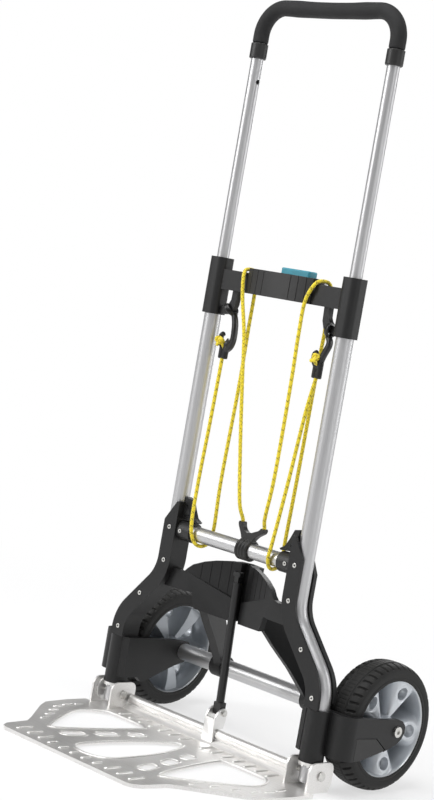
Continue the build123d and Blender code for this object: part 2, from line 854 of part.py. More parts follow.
def axle_bolts():
    with BuildPart() as bolts:
        for side in SIDES:
            with BuildSketch(outward(side, 130, HUB_Y, WHEEL_R)):
                Circle(BOLT_R)
            extrude(amount=120.7)
            # head with a hexagon socket
            with BuildSketch(outward(side, 250.6, HUB_Y, WHEEL_R)):
                Circle(7.5)
            extrude(amount=3.4)
            with BuildSketch(outward(side, 251.8, HUB_Y, WHEEL_R)):
                RegularPolygon(3.4, 6)
            extrude(amount=3, mode=Mode.SUBTRACT)
    return bolts.part


def axle_washers():
    with BuildPart() as washers:
        for side in SIDES:
            for x, thickness in ((184.2, 2.0), (241.8, 1.5)):
                with BuildSketch(outward(side, x, HUB_Y, WHEEL_R)):
                    Circle(12)
                    Circle(6.1, mode=Mode.SUBTRACT)
                extrude(amount=thickness)
    return washers.part


# ---------------------------------------------------------------- toe plate
PLATE_LOW, PLATE_T = 2.2, 2.8
PLATE_TOP = PLATE_LOW + PLATE_T
RAISED_LOW, RAISED_T = 4.5, 1.3     # lips, beads and ribs, sunk a little into the plate
LIP = 3                             # width of a lip, and of the turned-down rim
REAR_HALF = 177                     # half length of the rear edge
CHEEK_X = (178.4, 219)              # inner faces of the two cheeks
CHEEK_T = 3
BRACKET_WIDTH = 43.6

# x, y tables of the right side
PLATE_SIDE = [
    (0, -263), (124, -263), (133, -259), (140, -248), (145, -207), (158, -190), (212, -128),
    (227, -106), (233, -60), (233, -22), (222.5, -22), (REAR_HALF, -22), (REAR_HALF, 2),
]
SIDE_OPENING = [
    (106, -201), (126, -180), (178, -100), (184, -72), (166, -38), (148, -36), (86, -36),
    (74, -46),
]
CENTRE_OPENING = [
    (-34, -228), (34, -228), (35, -160), (27, -96), (8, -44), (-8, -44), (-27, -96),
    (-35, -160),
]
SIDE_BEADS = ((153, -168), (169, -146), (187, -124), (203, -102), (208, -80), (207, -58))
# x, y, length of the oblong holes
WEB_HOLES = ((77, -180, 40), (65, -128, 35), (53, -82, 27))
# y, z of the turned-up rear edge and of a cheek
REAR_EDGE = [(-6, 2.2), (3, 2.2), (12.9, 10.0), (11.2, 12.6), (1.6, 5.0), (-6, 5.0)]
CHEEK = [
    (-24, 2.2), (-24, 33), (-22, 38), (-18, 42), (-13, 43.6), (14, 43.6), (19, 42),
    (22.5, 38.5), (24, 34), (24, 14), (19, 2.2),
]


def toe_plate():
    outline = PLATE_SIDE + on_side(-1, PLATE_SIDE[:0:-1])
    with BuildPart() as plate:
        with BuildSketch(Plane.XY.offset(PLATE_LOW)):
            with BuildLine():
                Polyline(*outline, close=True)
            make_face()
        extrude(amount=PLATE_T)
        # turned-down rim
        with BuildSketch(Plane.XY):
            with BuildLine():
                Polyline(*outline, close=True)
            make_face()
            offset(amount=-LIP, mode=Mode.SUBTRACT)
        extrude(amount=2.4)
        # big openings with raised lips
        for opening in (on_side(-1, SIDE_OPENING), SIDE_OPENING, CENTRE_OPENING):
            hole = soften(opening)
            with BuildSketch(Plane.XY.offset(RAISED_LOW)):
                with BuildLine():
                    Polyline(*hole, close=True)
                make_face()
                offset(amount=LIP)
            extrude(amount=RAISED_T)
            with BuildSketch(Plane.XY):
                with BuildLine():
                    Polyline(*hole, close=True)
                make_face()
            extrude(amount=10, mode=Mode.SUBTRACT)
        # oblong holes in the webs
        for side in SIDES:
            for x, y, length in WEB_HOLES:
                with BuildSketch(Plane.XY):
                    with Locations(Location((side * x, y), -side * 72)):
                        SlotOverall(length, 18)
                extrude(amount=10, mode=Mode.SUBTRACT)
        # short beads along the front and the sides
        for x in range(-115, 116, 23):
            y, length = (-243, 16) if abs(x) < 60 else (-236, 26)
            with BuildSketch(Plane.XY.offset(RAISED_LOW)):
                with Locations(Location((x, y), 90)):
                    SlotOverall(length, 5)
            extrude(amount=RAISED_T)
        for side in SIDES:
            for x, y in SIDE_BEADS:
                with BuildSketch(Plane.XY.offset(RAISED_LOW)):
                    with Locations(Location((side * x, y), 90)):
                        SlotOverall(16, 4.5)
                extrude(amount=RAISED_T)
        # rear edge turned up to the rail, and ribs along the rear band
        with BuildSketch(Plane.YZ.offset(-REAR_HALF)):
            with BuildLine():
                Polyline(*REAR_EDGE, close=True)
            make_face()
        extrude(amount=2 * REAR_HALF)
        for k in range(-7, 8):
            if k == 0:
                continue
            with BuildSketch(Plane.XY.offset(RAISED_LOW)):
                with Locations(Location((k * 21.5, -16), 90)):
                    SlotOverall(24, 5)
            extrude(amount=RAISED_T)
        # side brackets: cheeks beside the tube ends, on a floor
        for side in SIDES:
            for x in CHEEK_X:
                with BuildSketch(Plane.YZ.offset(low_x(side, x, CHEEK_T))):
                    with BuildLine():
                        Polyline(*CHEEK, close=True)
                    make_face()
                    with Locations((0, HINGE_Z)):
                        Circle(PIN_R + FIT, mode=Mode.SUBTRACT)
                extrude(amount=CHEEK_T)
            x0 = low_x(side, CHEEK_X[0], BRACKET_WIDTH)
            x1 = x0 + BRACKET_WIDTH
            with BuildSketch(Plane.XY.offset(PLATE_LOW)):
                with BuildLine():
                    Polyline((x0, -30), (x1, -30), (x1, 19), (x0, 19), close=True)
                make_face()
            extrude(amount=PLATE_TOP - PLATE_LOW)
    return plate.part


def rear_rail():
    half_length, radius = 174.8, 7.3
    with BuildPart() as rail:
        with BuildSketch(Plane.YZ.offset(-half_length)):
            with Locations((15.0, 19.4)):
                Circle(radius)
                Circle(radius - 1.8, mode=Mode.SUBTRACT)
        extrude(amount=2 * half_length)
    return rail.part


def toothed_sectors():
    """plain disc inside each outer cheek"""
    with BuildPart() as discs:
        for side in SIDES:
            with BuildSketch(outward(side, 217.2, z=HINGE_Z)):
                Circle(17)
                Circle(PIN_R + 0.3, mode=Mode.SUBTRACT)
            extrude(amount=1.7)
    return discs.part


def hinge_pins():
    """pins with a head at each end"""
    # x of the inner end, radius, length
    steps = ((176.0, PIN_R, 48), (222.3, 6.5, 2.4), (175.4, 6.5, 2.7))
    with BuildPart() as pins:
        for side in SIDES:
            for x, radius, length in steps:
                with BuildSketch(outward(side, x, z=HINGE_Z)):
                    Circle(radius)
                extrude(amount=length)
    return pins.part


# ---------------------------------------------------------------- strut and its clevis
CLEVIS_Y, CLEVIS_Z = 20.0, 50.0
CLEVIS_HALF = 10.5
CLEVIS_T = 3
CLEVIS_PIN_R = 3.0
ROD_TOP_Y, ROD_TOP_Z = 11.0, 250.0
ROD_DY, ROD_DZ = ROD_TOP_Y - CLEVIS_Y, ROD_TOP_Z - CLEVIS_Z
STRUT_LENGTH = (ROD_DY * ROD_DY + ROD_DZ * ROD_DZ) ** 0.5
STRUT_DIR = (0, ROD_DY / STRUT_LENGTH, ROD_DZ / STRUT_LENGTH)

# y, z of the clevis wall and of an ear
CLEVIS_WALL = [(4.4, 7.6), (7.4, 9.9), (7.4, 42.5), (4.4, 42.5)]
CLEVIS_EAR = [
    (4.4, 27.2), (4.4, 44), (9, 52), (15, 56), (20, 57), (25, 55), (27, 49), (26, 38),
    (23, 27.2),
]


def strut_plane(distance):
    """plane across the strut at a distance up from the clevis pin"""
    return Plane((0, CLEVIS_Y + STRUT_DIR[1] * distance, CLEVIS_Z + STRUT_DIR[2] * distance),
                 x_dir=(1, 0, 0), z_dir=STRUT_DIR)


def plate_clevis():
    """front wall standing before the rail, two ears over it"""
    with BuildPart() as clevis:
        with BuildSketch(Plane.YZ.offset(-CLEVIS_HALF)):
            with BuildLine():
                Polyline(*CLEVIS_WALL, close=True)
            make_face()
        extrude(amount=2 * CLEVIS_HALF)
        for x in (-CLEVIS_HALF, CLEVIS_HALF - CLEVIS_T):
            with BuildSketch(Plane.YZ.offset(x)):
                with BuildLine():
                    Polyline(*CLEVIS_EAR, close=True)
                make_face()
                with Locations((CLEVIS_Y, CLEVIS_Z)):
                    Circle(CLEVIS_PIN_R + FIT, mode=Mode.SUBTRACT)
            extrude(amount=CLEVIS_T)
    return clevis.part


def clevis_pin():
    # x of the left end, radius, length of the pin and its head
    steps = ((-12.5, CLEVIS_PIN_R, 25), (10.6, 4.6, 2.4))
    with BuildPart() as pin:
        for x, radius, length in steps:
            with BuildSketch(Plane.YZ.offset(x)):
                with Locations((CLEVIS_Y, CLEVIS_Z)):
                    Circle(radius)
            extrude(amount=length)
    return pin.part


def strut_rod():
    with BuildPart() as rod:
        with BuildSketch(strut_plane(14)):
            Circle(6.0)
        extrude(amount=STRUT_LENGTH - 26)
        # neck and head sliding in the track
        with BuildSketch(strut_plane(STRUT_LENGTH - 13)):
            Rectangle(8, 7)
        extrude(amount=14)
        with BuildSketch(strut_plane(STRUT_LENGTH - 3)):
            RectangleRounded(14, 9, 2)
        extrude(amount=6)
    return rod.part


def strut_foot():
    width = 14
    with BuildPart() as foot:
        with BuildSketch(strut_plane(2)):
            Rectangle(width, 11)
        extrude(amount=11.9)
        with BuildSketch(Plane.YZ.offset(-width / 2)):
            with Locations((CLEVIS_Y, CLEVIS_Z)):
                Circle(5.2)
        extrude(amount=width)
        with BuildSketch(Plane.YZ.offset(-width / 2 - 1)):
            with Locations((CLEVIS_Y, CLEVIS_Z)):
                Circle(CLEVIS_PIN_R + FIT)
        extrude(amount=width + 2, mode=Mode.SUBTRACT)
    return foot.part


# ---------------------------------------------------------------- cord hooks and cords
CORD_R = 2.3

# x, z of the left hook's blade
HOOK_BLADE = [
    (-101.5, 604.5), (-96, 604.5), (-86, 598), (-80, 587), (-80, 577), (-87, 567), (-97, 566),
    (-90, 578), (-90, 585), (-95, 594),
]
# x, y, z along each cord, from its hook down, round the cross tube, up behind the crossbar,
# over it and down in front
LEFT_CORD = [
    (-95, 0, 545.5), (-91, -8, 360), (-84, -14, 306), (-83, -14, 276), (-78, 2, 273.5),
    (-71, 14.4, 278), (-69, 14.4, 300), (-70, 17, 600), (-71, 17, 677), (-71, 2, 680),
    (-70, -12, 677), (-63.8, -12, 641), (-50, -12, 590), (-36, -12, 520), (-6, -12, 345),
]
RIGHT_CORD = [
    (95, 0, 545.5), (80, -8, 394), (74.5, -14, 306), (74, -14, 276), (73, 2, 273.5),
    (72.5, 14.4, 278), (73, 14.4, 315), (74, 17, 603), (72, 17, 677), (70, 2, 680),
    (67, -12, 677), (66.5, -12, 641), (58, -12, 590), (57, -12, 520), (50, -12, 345),
]


def cord_hook():
    """left hook: a ring round the cord arm, a curved blade and a round end for the cord"""
    with BuildPart() as hook:
        with BuildSketch(Plane.YZ.offset(-101.5)):
            with Locations((1.5, 616.5)):
                Circle(15)
                Circle(11.5, mode=Mode.SUBTRACT)
        extrude(amount=4.5)
        with BuildSketch(Plane.XZ.offset(2)):
            with BuildLine():
                Polyline(*HOOK_BLADE, close=True)
            make_face()
        extrude(amount=-6)
        with BuildSketch(Plane.XY.offset(546)):
            with Locations((-95, 0)):
                Circle(7)
        extrude(amount=24)
    return hook.part


def cord(points):
    with BuildPart() as strand:
        with BuildLine() as path:
            Polyline(*points)
        with BuildSketch(Plane(points[0], z_dir=Vector(points[1]) - Vector(points[0]))):
            Circle(CORD_R)
        sweep(path=path.wires()[0], transition=Transition.RIGHT)
    return strand.part


def cord_left():
    return cord(LEFT_CORD)


def cord_right():
    return cord(RIGHT_CORD)


# ---------------------------------------------------------------- build and export
SINGLE = (
    handle_tube, handle_grip, grip_collars, handle_glides, guide_bushes, crossbar_housing,
    crossbar_front_cover, cover_screws, release_button, button_springs, lock_springs,
    cover_rivets, cross_tube, cross_tube_sockets, socket_screws, cord_clip, arch_panel,
    arch_legs, axle_tube, toothed_rings, wheel_rim_right, wheel_rim_left, axle_bolts,
    axle_washers, toe_plate, rear_rail, toothed_sectors, hinge_pins, plate_clevis, clevis_pin,
    strut_rod, strut_foot, cord_left, cord_right,
)
# side drawn, side mirrored from it, pieces
PAIRED = (
    ("right", "left", (lower_tube, side_cover, skid, wheel_arm, arm_cover, wheel_bushes, tyre)),
    ("left", "right", (lock_pin, cord_hook)),
)

parts = {build.__name__: build() for build in SINGLE}
for drawn, other, builders in PAIRED:
    for build in builders:
        piece = build()
        parts[f"{build.__name__}_{drawn}"] = piece
        parts[f"{build.__name__}_{other}"] = mirrored(piece)

os.makedirs("parts", exist_ok=True)
for name, part in parts.items():
    moved = part.moved(Location((0, BACK_SHIFT, 0)))
    moved.label = name
    export_step(moved, "parts/" + name + ".step")
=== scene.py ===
"""Two-wheeled folding hand truck with elastic cords, standing upright on its toe plate.

+Z is up, +X is the truck's right, -Y is the front, where the toe plate reaches out; the wheels
are behind. Shapes are drawn in millimetres about the plane of the tubes. Some CAD pieces are
kept and given broken edges, the others are replaced by the detailed meshes built here.
"""
import bpy
import bmesh
import math
import numpy as np
from mathutils import Matrix, Vector


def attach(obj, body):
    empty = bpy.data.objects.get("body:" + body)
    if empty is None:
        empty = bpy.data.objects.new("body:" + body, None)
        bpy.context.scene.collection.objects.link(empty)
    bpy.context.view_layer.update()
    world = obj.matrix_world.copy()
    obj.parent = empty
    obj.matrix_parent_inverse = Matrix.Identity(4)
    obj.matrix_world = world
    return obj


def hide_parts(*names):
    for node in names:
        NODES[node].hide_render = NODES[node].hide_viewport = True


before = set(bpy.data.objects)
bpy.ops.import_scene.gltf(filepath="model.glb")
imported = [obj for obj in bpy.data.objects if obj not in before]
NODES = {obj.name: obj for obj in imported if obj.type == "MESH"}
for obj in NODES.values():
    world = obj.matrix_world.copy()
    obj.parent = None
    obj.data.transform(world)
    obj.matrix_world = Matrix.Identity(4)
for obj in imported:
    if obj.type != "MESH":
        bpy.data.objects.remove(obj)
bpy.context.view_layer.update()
scene = bpy.context.scene

MM = 0.001
BACK = 0.0325              # metres from the frame's origin back to the plane of the tubes
SIGN = {"left": -1, "right": 1}

# wheels, mm
WHEEL_X, WHEEL_Y, WHEEL_Z = 214.0, 108.0, 90.0     # centre of the right wheel
TYRE_RADIUS = WHEEL_Z
RIM_FACE_RADIUS = 66.8     # where a wheel face meets the flange
WHEEL_STEPS = 900          # steps round a wheel
PETALS = 5
HOLE_CIRCLE = 52.0         # distance of the petal holes from the axle

# elastic cords, mm
CORD_RADIUS = 2.7
KNOT_CORD_RADIUS = 2.5


# ============================================================ node helpers
def rgba(color):
    if isinstance(color, (int, float)):
        return (color, color, color, 1.0)
    return tuple(color) + (1.0,) if len(color) == 3 else tuple(color)


def scaled(color, factor):
    return tuple(value * factor for value in color)


def empty_tree(owner):
    owner.use_nodes = True
    owner.node_tree.nodes.clear()
    return owner.node_tree


def feed(tree, socket, value):
    """link a socket to an input, or set the input's own value"""
    if isinstance(value, bpy.types.NodeSocket):
        tree.links.new(value, socket)
    else:
        socket.default_value = rgba(value) if socket.type == "RGBA" else value


def add_node(tree, kind, inputs=None, **settings):
    node = tree.nodes.new("ShaderNode" + kind)
    for key, value in settings.items():
        setattr(node, key, value)
    for key, value in (inputs or {}).items():
        feed(tree, node.inputs[key], value)
    return node


def color_ramp(tree, value, stops):
    """stops are (position, colour or grey), in rising order"""
    node = add_node(tree, "ValToRGB", {"Fac": value})
    elements = node.color_ramp.elements
    for element, (position, color) in zip(elements, (stops[0], stops[-1])):
        element.position = position
        element.color = rgba(color)
    for position, color in stops[1:-1]:
        elements.new(position).color = rgba(color)
    return node.outputs["Color"]


class Shader:
    """Builder for a procedural material; textures lie in object coordinates, in metres."""

    INPUTS = dict(color="Base Color", metallic="Metallic", rough="Roughness", normal="Normal",
                  spec="Specular IOR Level", sheen="Sheen Weight")

    def __init__(self, name):
        self.material = bpy.data.materials.new(name)
        self.tree = empty_tree(self.material)
        output = self.node("OutputMaterial")
        self.surface = self.node("BsdfPrincipled")
        feed(self.tree, output.inputs[0], self.surface.outputs[0])
        self.position = self.node("TexCoord").outputs["Object"]
        self.mappings = {}

    def node(self, kind, inputs=None, **settings):
        return add_node(self.tree, kind, inputs, **settings)

    def stretched(self, stretch):
        key = tuple(stretch)
        if key not in self.mappings:
            mapping = self.node("Mapping", {"Scale": stretch, "Vector": self.position})
            self.mappings[key] = mapping.outputs[0]
        return self.mappings[key]

    def noise(self, scale, stretch=(1, 1, 1), detail=4.0, rough=0.55, distortion=0.0):
        return self.node("TexNoise", {
            "Scale": scale, "Detail": detail, "Roughness": rough, "Distortion": distortion,
            "Vector": self.stretched(stretch)}).outputs["Fac"]

    def voronoi(self, scale, output="Distance"):
        inputs = {"Scale": scale, "Vector": self.stretched((1, 1, 1))}
        return self.node("TexVoronoi", inputs).outputs[output]

    def attribute(self, name):
        return self.node("Attribute", attribute_name=name).outputs["Fac"]

    def fade(self, value, start, end, low=0.0, high=1.0):
        return color_ramp(self.tree, value, [(start, low), (end, high)])

    def cutoff(self, value, start, end):
        """0 below start, 1 above end, with stops at both ends of the ramp"""
        stops = [(0.0, 0.0), (start, 0.0), (end, 1.0), (1.0, 1.0)]
        return color_ramp(self.tree, value, stops)

    def math(self, operation, first, second, clamp=False):
        node = self.node("Math", {0: first, 1: second}, operation=operation, use_clamp=clamp)
        return node.outputs[0]

    def times(self, first, second, clamp=False):
        return self.math("MULTIPLY", first, second, clamp)

    def plus(self, first, second):
        return self.math("ADD", first, second)

    def minus(self, first, second):
        return self.math("SUBTRACT", first, second)

    def vary(self, base, by, amount):
        return self.plus(base, self.times(by, amount))

    def worn_roughness(self, base, edges, polish, texture, amount):
        """rougher with the texture, smoother on the edges"""
        return self.plus(self.times(texture, amount), self.minus(base, self.times(edges, polish)))

    def mix(self, mask, low, high):
        # inputs 6 and 7 and output 2 are the colour sockets of a Mix node
        node = self.node("Mix", data_type="RGBA", blend_type="MIX")
        for index, value in ((0, mask), (6, low), (7, high)):
            feed(self.tree, node.inputs[index], value)
        return node.outputs[2]

    def tint(self, color, target, mask, amount):
        return self.mix(self.times(mask, amount), color, target)

    def edges(self, radius, gain):
        """0 on flat faces, rising to 1 on convex and concave edges"""
        rounded = self.node("Bevel", {"Radius": radius}, samples=4)
        geometry = self.node("NewGeometry")
        dot = self.node("VectorMath", {0: rounded.outputs[0], 1: geometry.outputs["Normal"]},
                        operation="DOT_PRODUCT")
        return self.times(self.minus(1.0, dot.outputs["Value"]), gain, clamp=True)

    def bump(self, height, strength, distance, after=None):
        node = self.node("Bump", {"Strength": strength, "Distance": distance, "Height": height})
        if after is not None:
            feed(self.tree, node.inputs["Normal"], after)
        return node.outputs[0]

    def finish(self, **values):
        for key, value in values.items():
            feed(self.tree, self.surface.inputs[self.INPUTS[key]], value)
        return self.material


def along_axis(axis, factor):
    """texture scale that draws a pattern out along one axis"""
    stretch = [1.0, 1.0, 1.0]
    stretch[axis] = factor
    return stretch


# ============================================================ materials
def drawn_tube(name, along, base, dark, roughness):
    """extruded satin aluminium: long draw lines, faint mottling, a few handling scratches"""
    mat = Shader(name)
    drawn = along_axis(along, 0.012)
    lines = mat.noise(scale=950, stretch=drawn, detail=5, rough=0.6)
    broad = mat.noise(scale=70, stretch=drawn, detail=2)
    mottle = mat.noise(scale=28, detail=3)
    scratches = mat.cutoff(mat.noise(scale=1600, stretch=along_axis(along, 0.08), detail=1,
                                     rough=0.4, distortion=0.6), start=0.70, end=0.74)
    color = mat.mix(mat.fade(lines, start=0.3, end=0.7), dark, base)
    color = mat.tint(color, scaled(base, 0.82), mask=mat.fade(mottle, start=0.35, end=0.75),
                     amount=0.16)
    color = mat.tint(color, (0.85, 0.85, 0.86), mask=scratches, amount=0.12)
    rough = mat.plus(mat.times(lines, 0.08), mat.vary(roughness - 0.07, by=broad, amount=0.05))
    return mat.finish(color=color, metallic=1.0, rough=rough,
                      normal=mat.bump(lines, strength=0.10, distance=0.0002))


def sheet_metal(name, base, dark, roughness, grain=1.0):
    """pressed sheet: rolled grain along the width, fine scuffs, brighter worn edges"""
    mat = Shader(name)
    worn = (0.93, 0.92, 0.90)
    rolled = mat.noise(scale=600, stretch=(0.03, 1, 1))
    cloud = mat.noise(scale=22, detail=5, rough=0.6)
    pits = mat.noise(scale=1900, detail=2)
    scuffs = mat.cutoff(mat.noise(scale=260, stretch=(0.25, 1, 1), detail=6, rough=0.75,
                                  distortion=1.4), start=0.60, end=0.66)
    color = mat.mix(mat.fade(rolled, start=0.3, end=0.72), dark, base)
    color = mat.tint(color, scaled(base, 0.84), mask=mat.fade(cloud, start=0.35, end=0.7),
                     amount=0.30)
    color = mat.tint(color, worn, mask=scuffs, amount=0.16 * grain)
    edges = mat.edges(radius=0.0012, gain=2.6)
    color = mat.tint(color, worn, mask=edges, amount=0.55)
    rough = mat.worn_roughness(roughness, edges, polish=0.08, texture=cloud, amount=0.16)
    rolled_bump = mat.bump(rolled, strength=0.10 * grain, distance=0.0002)
    return mat.finish(color=color, metallic=0.93, rough=rough,
                      normal=mat.bump(pits, strength=0.10 * grain, distance=0.00015,
                                      after=rolled_bump))


def moulded(name, base, light, roughness, texture=1500.0, depth=0.25, wear=0.5, spec=0.5,
            streak_axis=None):
    """moulded plastic with a spark-eroded grain, flow clouding, dust and rubbed edges"""
    mat = Shader(name)
    grain = mat.noise(scale=texture, detail=3, rough=0.6)
    cells = mat.voronoi(scale=texture * 0.7)
    cloud = mat.noise(scale=34)
    dust = mat.noise(scale=210, detail=6, rough=0.7)
    color = mat.mix(mat.fade(cloud, start=0.3, end=0.75), base, scaled(base, 1.28))
    color = mat.tint(color, light, mask=mat.fade(dust, start=0.55, end=0.8), amount=0.20)
    edges = mat.edges(radius=0.0011, gain=2.2)
    patchy = mat.fade(mat.noise(scale=330, detail=3), start=0.3, end=0.7, low=0.25)
    color = mat.tint(color, light, mask=mat.times(edges, patchy), amount=wear)
    rough = mat.worn_roughness(roughness, edges, polish=0.10, texture=grain, amount=0.16)
    if streak_axis is not None:
        streaks = mat.noise(scale=420, stretch=along_axis(streak_axis, 0.05), detail=3)
        color = mat.tint(color, scaled(base, 0.7), mask=streaks, amount=0.25)
    cell_bump = mat.bump(cells, strength=depth * 0.5, distance=0.00025)
    return mat.finish(color=color, rough=rough, spec=spec,
                      normal=mat.bump(grain, strength=depth, distance=0.0002, after=cell_bump))


def foam(name):
    """black foam with open pores"""
    mat = Shader(name)
    pores = mat.voronoi(scale=1900)
    fine = mat.noise(scale=3200, detail=2)
    cloud = mat.noise(scale=40)
    color = mat.mix(mat.fade(pores, start=0.05, end=0.55),
                    (0.0035, 0.0035, 0.0038), (0.0120, 0.0120, 0.0125))
    color = mat.tint(color, (0.017, 0.017, 0.018), mask=cloud, amount=0.35)
    pore_bump = mat.bump(pores, strength=0.55, distance=0.0004)
    return mat.finish(color=color, rough=mat.vary(0.58, by=cloud, amount=0.18), spec=0.34,
                      sheen=0.03,
                      normal=mat.bump(fine, strength=0.25, distance=0.0002, after=pore_bump))


def rubber(name):
    """black rubber with dust and greyed edges"""
    mat = Shader(name)
    grain = mat.noise(scale=1300)
    dust = mat.noise(scale=95, detail=7, rough=0.72)
    broad = mat.noise(scale=16, detail=2)
    color = mat.mix(mat.fade(dust, start=0.38, end=0.78),
                    (0.0070, 0.0070, 0.0068), (0.0200, 0.0195, 0.0180))
    edges = mat.edges(radius=0.0013, gain=2.0)
    color = mat.tint(color, (0.040, 0.039, 0.037), mask=edges, amount=0.35)
    dusty = mat.vary(0.52, by=dust, amount=0.30)
    return mat.finish(color=color, rough=mat.minus(dusty, mat.times(broad, 0.06)), spec=0.42,
                      normal=mat.bump(grain, strength=0.32, distance=0.00025))


def rim_paint(name):
    """satin blue-grey plastic with a fine metallic fleck and moulded graining"""
    mat = Shader(name)
    fleck = mat.node("SeparateColor", {0: mat.voronoi(scale=2600, output="Color")})
    cloud = mat.noise(scale=46)
    grain = mat.noise(scale=1700, detail=3)
    color = mat.mix(mat.fade(cloud, start=0.3, end=0.72),
                    (0.620, 0.650, 0.685), (0.720, 0.750, 0.780))
    color = mat.tint(color, (0.56, 0.60, 0.66),
                     mask=mat.fade(fleck.outputs[0], start=0.70, end=0.95), amount=0.28)
    edges = mat.edges(radius=0.0010, gain=2.4)
    color = mat.tint(color, (0.60, 0.63, 0.67), mask=edges, amount=0.50)

    # painted shade darkens the hollows between the petals and the wheel's inner face, told apart
    # by their distance from the middle plane
    hollow_from, per_metre = 0.207, 52.0
    across = mat.node("SeparateXYZ", {0: mat.position}).outputs[0]
    outward = mat.math("MAXIMUM", across, mat.times(across, -1.0))
    front = mat.times(mat.minus(outward, hollow_from), per_metre, clamp=True)
    color = mat.tint(color, (0.22, 0.24, 0.265), mask=mat.minus(1.0, front), amount=0.66)

    # painted highlight lightens the flange all round, told apart by its distance from the wheel's
    # axis
    centred = mat.node("Mapping", {"Location": (0.0, -(WHEEL_Y * MM + BACK), -WHEEL_Z * MM),
                                   "Vector": mat.position}, vector_type="POINT")
    radial = mat.node("VectorMath", {1: (0.0, 1.0, 1.0), 0: centred.outputs[0]},
                      operation="MULTIPLY")
    radius = mat.node("VectorMath", {0: radial.outputs[0]}, operation="LENGTH")
    beyond_face = mat.minus(radius.outputs["Value"], RIM_FACE_RADIUS * MM)
    lip = mat.times(beyond_face, 2500.0, clamp=True)      # a sharp step
    color = mat.tint(color, (0.80, 0.81, 0.82), mask=lip, amount=0.75)
    return mat.finish(color=color, metallic=0.45, rough=mat.vary(0.30, by=cloud, amount=0.14),
                      spec=0.5, normal=mat.bump(grain, strength=0.12, distance=0.0002))


def plated(name, base, roughness):
    """zinc-plated steel, clouded with a little tarnish and brighter on the edges"""
    mat = Shader(name)
    cloud = mat.noise(scale=150, detail=5)
    fine = mat.noise(scale=2600, stretch=(1, 1, 0.3), detail=3)
    color = mat.mix(mat.fade(cloud, start=0.3, end=0.75), scaled(base, 0.72), base)
    edges = mat.edges(radius=0.0006, gain=2.5)
    color = mat.tint(color, (0.95, 0.95, 0.95), mask=edges, amount=0.4)
    return mat.finish(color=color, metallic=1.0,
                      rough=mat.vary(roughness, by=cloud, amount=0.18),
                      normal=mat.bump(fine, strength=0.12, distance=0.00012))


def cord_weave(name):
    """yellow braid with dark tracer flecks and painted shade between the strands, from the braid
    attributes on the mesh
    """
    mat = Shader(name)
    height = mat.attribute("braid")
    tracer = mat.attribute("tracer")
    fibres = mat.noise(scale=5200, stretch=(1, 1, 0.35), detail=2)
    worn = mat.noise(scale=90)
    # painted shade: the braid is darker in the hollows between the strands, from the braid height
    color = mat.mix(mat.fade(height, start=0.0, end=0.75),
                    (0.50, 0.36, 0.004), (0.90, 0.70, 0.014))
    color = mat.tint(color, (0.70, 0.60, 0.03), mask=mat.fade(worn, start=0.35, end=0.8),
                     amount=0.30)
    color = mat.tint(color, (0.96, 0.86, 0.10), mask=fibres, amount=0.22)
    color = mat.tint(color, (0.075, 0.066, 0.025), mask=tracer, amount=0.85)
    return mat.finish(color=color, rough=0.62, spec=0.35, sheen=0.35,
                      normal=mat.bump(fibres, strength=0.35, distance=0.0002))


MAT = {
    "tube_z": drawn_tube("tube_aluminium_upright", along=2, base=(0.62, 0.62, 0.625),
                         dark=(0.53, 0.53, 0.54), roughness=0.44),
    "tube_x": drawn_tube("tube_aluminium_cross", along=0, base=(0.64, 0.64, 0.64),
                         dark=(0.54, 0.54, 0.55), roughness=0.40),
    "plate": sheet_metal("plate_aluminium", base=(0.94, 0.93, 0.915),
                         dark=(0.80, 0.785, 0.765), roughness=0.37),
    "bracket": sheet_metal("bracket_metal", base=(0.98, 0.975, 0.96),
                           dark=(0.88, 0.87, 0.855), roughness=0.27, grain=0.8),
    "black": moulded("black_plastic", base=(0.0070, 0.0070, 0.0072),
                     light=(0.044, 0.044, 0.045), roughness=0.38, spec=0.42),
    "black_fine": moulded("black_plastic_fine", base=(0.0120, 0.0118, 0.0116),
                          light=(0.058, 0.057, 0.056), roughness=0.36,
                          texture=2300, depth=0.15, wear=0.4),
    "gloss": moulded("black_plastic_hooks", base=(0.0060, 0.0060, 0.0064),
                     light=(0.040, 0.040, 0.042), roughness=0.24,
                     texture=900, depth=0.10, wear=0.35),
    "skid": moulded("skid_plastic", base=(0.0075, 0.0075, 0.0078),
                    light=(0.046, 0.046, 0.047), roughness=0.46,
                    texture=1100, depth=0.35, wear=0.6, streak_axis=2),
    "nylon": moulded("nylon_natural", base=(0.62, 0.60, 0.54), light=(0.78, 0.77, 0.72),
                     roughness=0.42, texture=900, depth=0.12, wear=0.2),
    "teal": moulded("button_plastic", base=(0.040, 0.270, 0.350), light=(0.23, 0.52, 0.60),
                    roughness=0.40, texture=1900, depth=0.15, wear=0.35),
    "strut": moulded("strut_paint", base=(0.0065, 0.0065, 0.0068), light=(0.05, 0.05, 0.05),
                     roughness=0.28, texture=650, depth=0.14, wear=0.45),
    "foam": foam("grip_foam"),
    "rubber": rubber("tyre_rubber"),
    "rim": rim_paint("rim_plastic"),
    "steel": plated("zinc_plated_steel", base=(0.78, 0.77, 0.74), roughness=0.20),
    "cord": cord_weave("elastic_cord"),
}


# ============================================================ mesh helpers
def paint(ob, material):
    ob.data.materials.clear()
    ob.data.materials.append(material)
    for polygon in ob.data.polygons:
        polygon.material_index = 0


def shade_smooth(mesh):
    mesh.polygons.foreach_set("use_smooth", [True] * len(mesh.polygons))


def new_mesh(name, points, faces, material):
    """smooth mesh from points in mm about the plane of the tubes"""
    points = np.array(points) * MM
    mesh = bpy.data.meshes.new(name)
    mesh.from_pydata([(float(x), float(y) + BACK, float(z)) for x, y, z in points], [],
                     [tuple(map(int, face)) for face in faces])
    mesh.update()
    shade_smooth(mesh)
    ob = bpy.data.objects.new(name, mesh)
    scene.collection.objects.link(ob)
    paint(ob, material)
    return ob


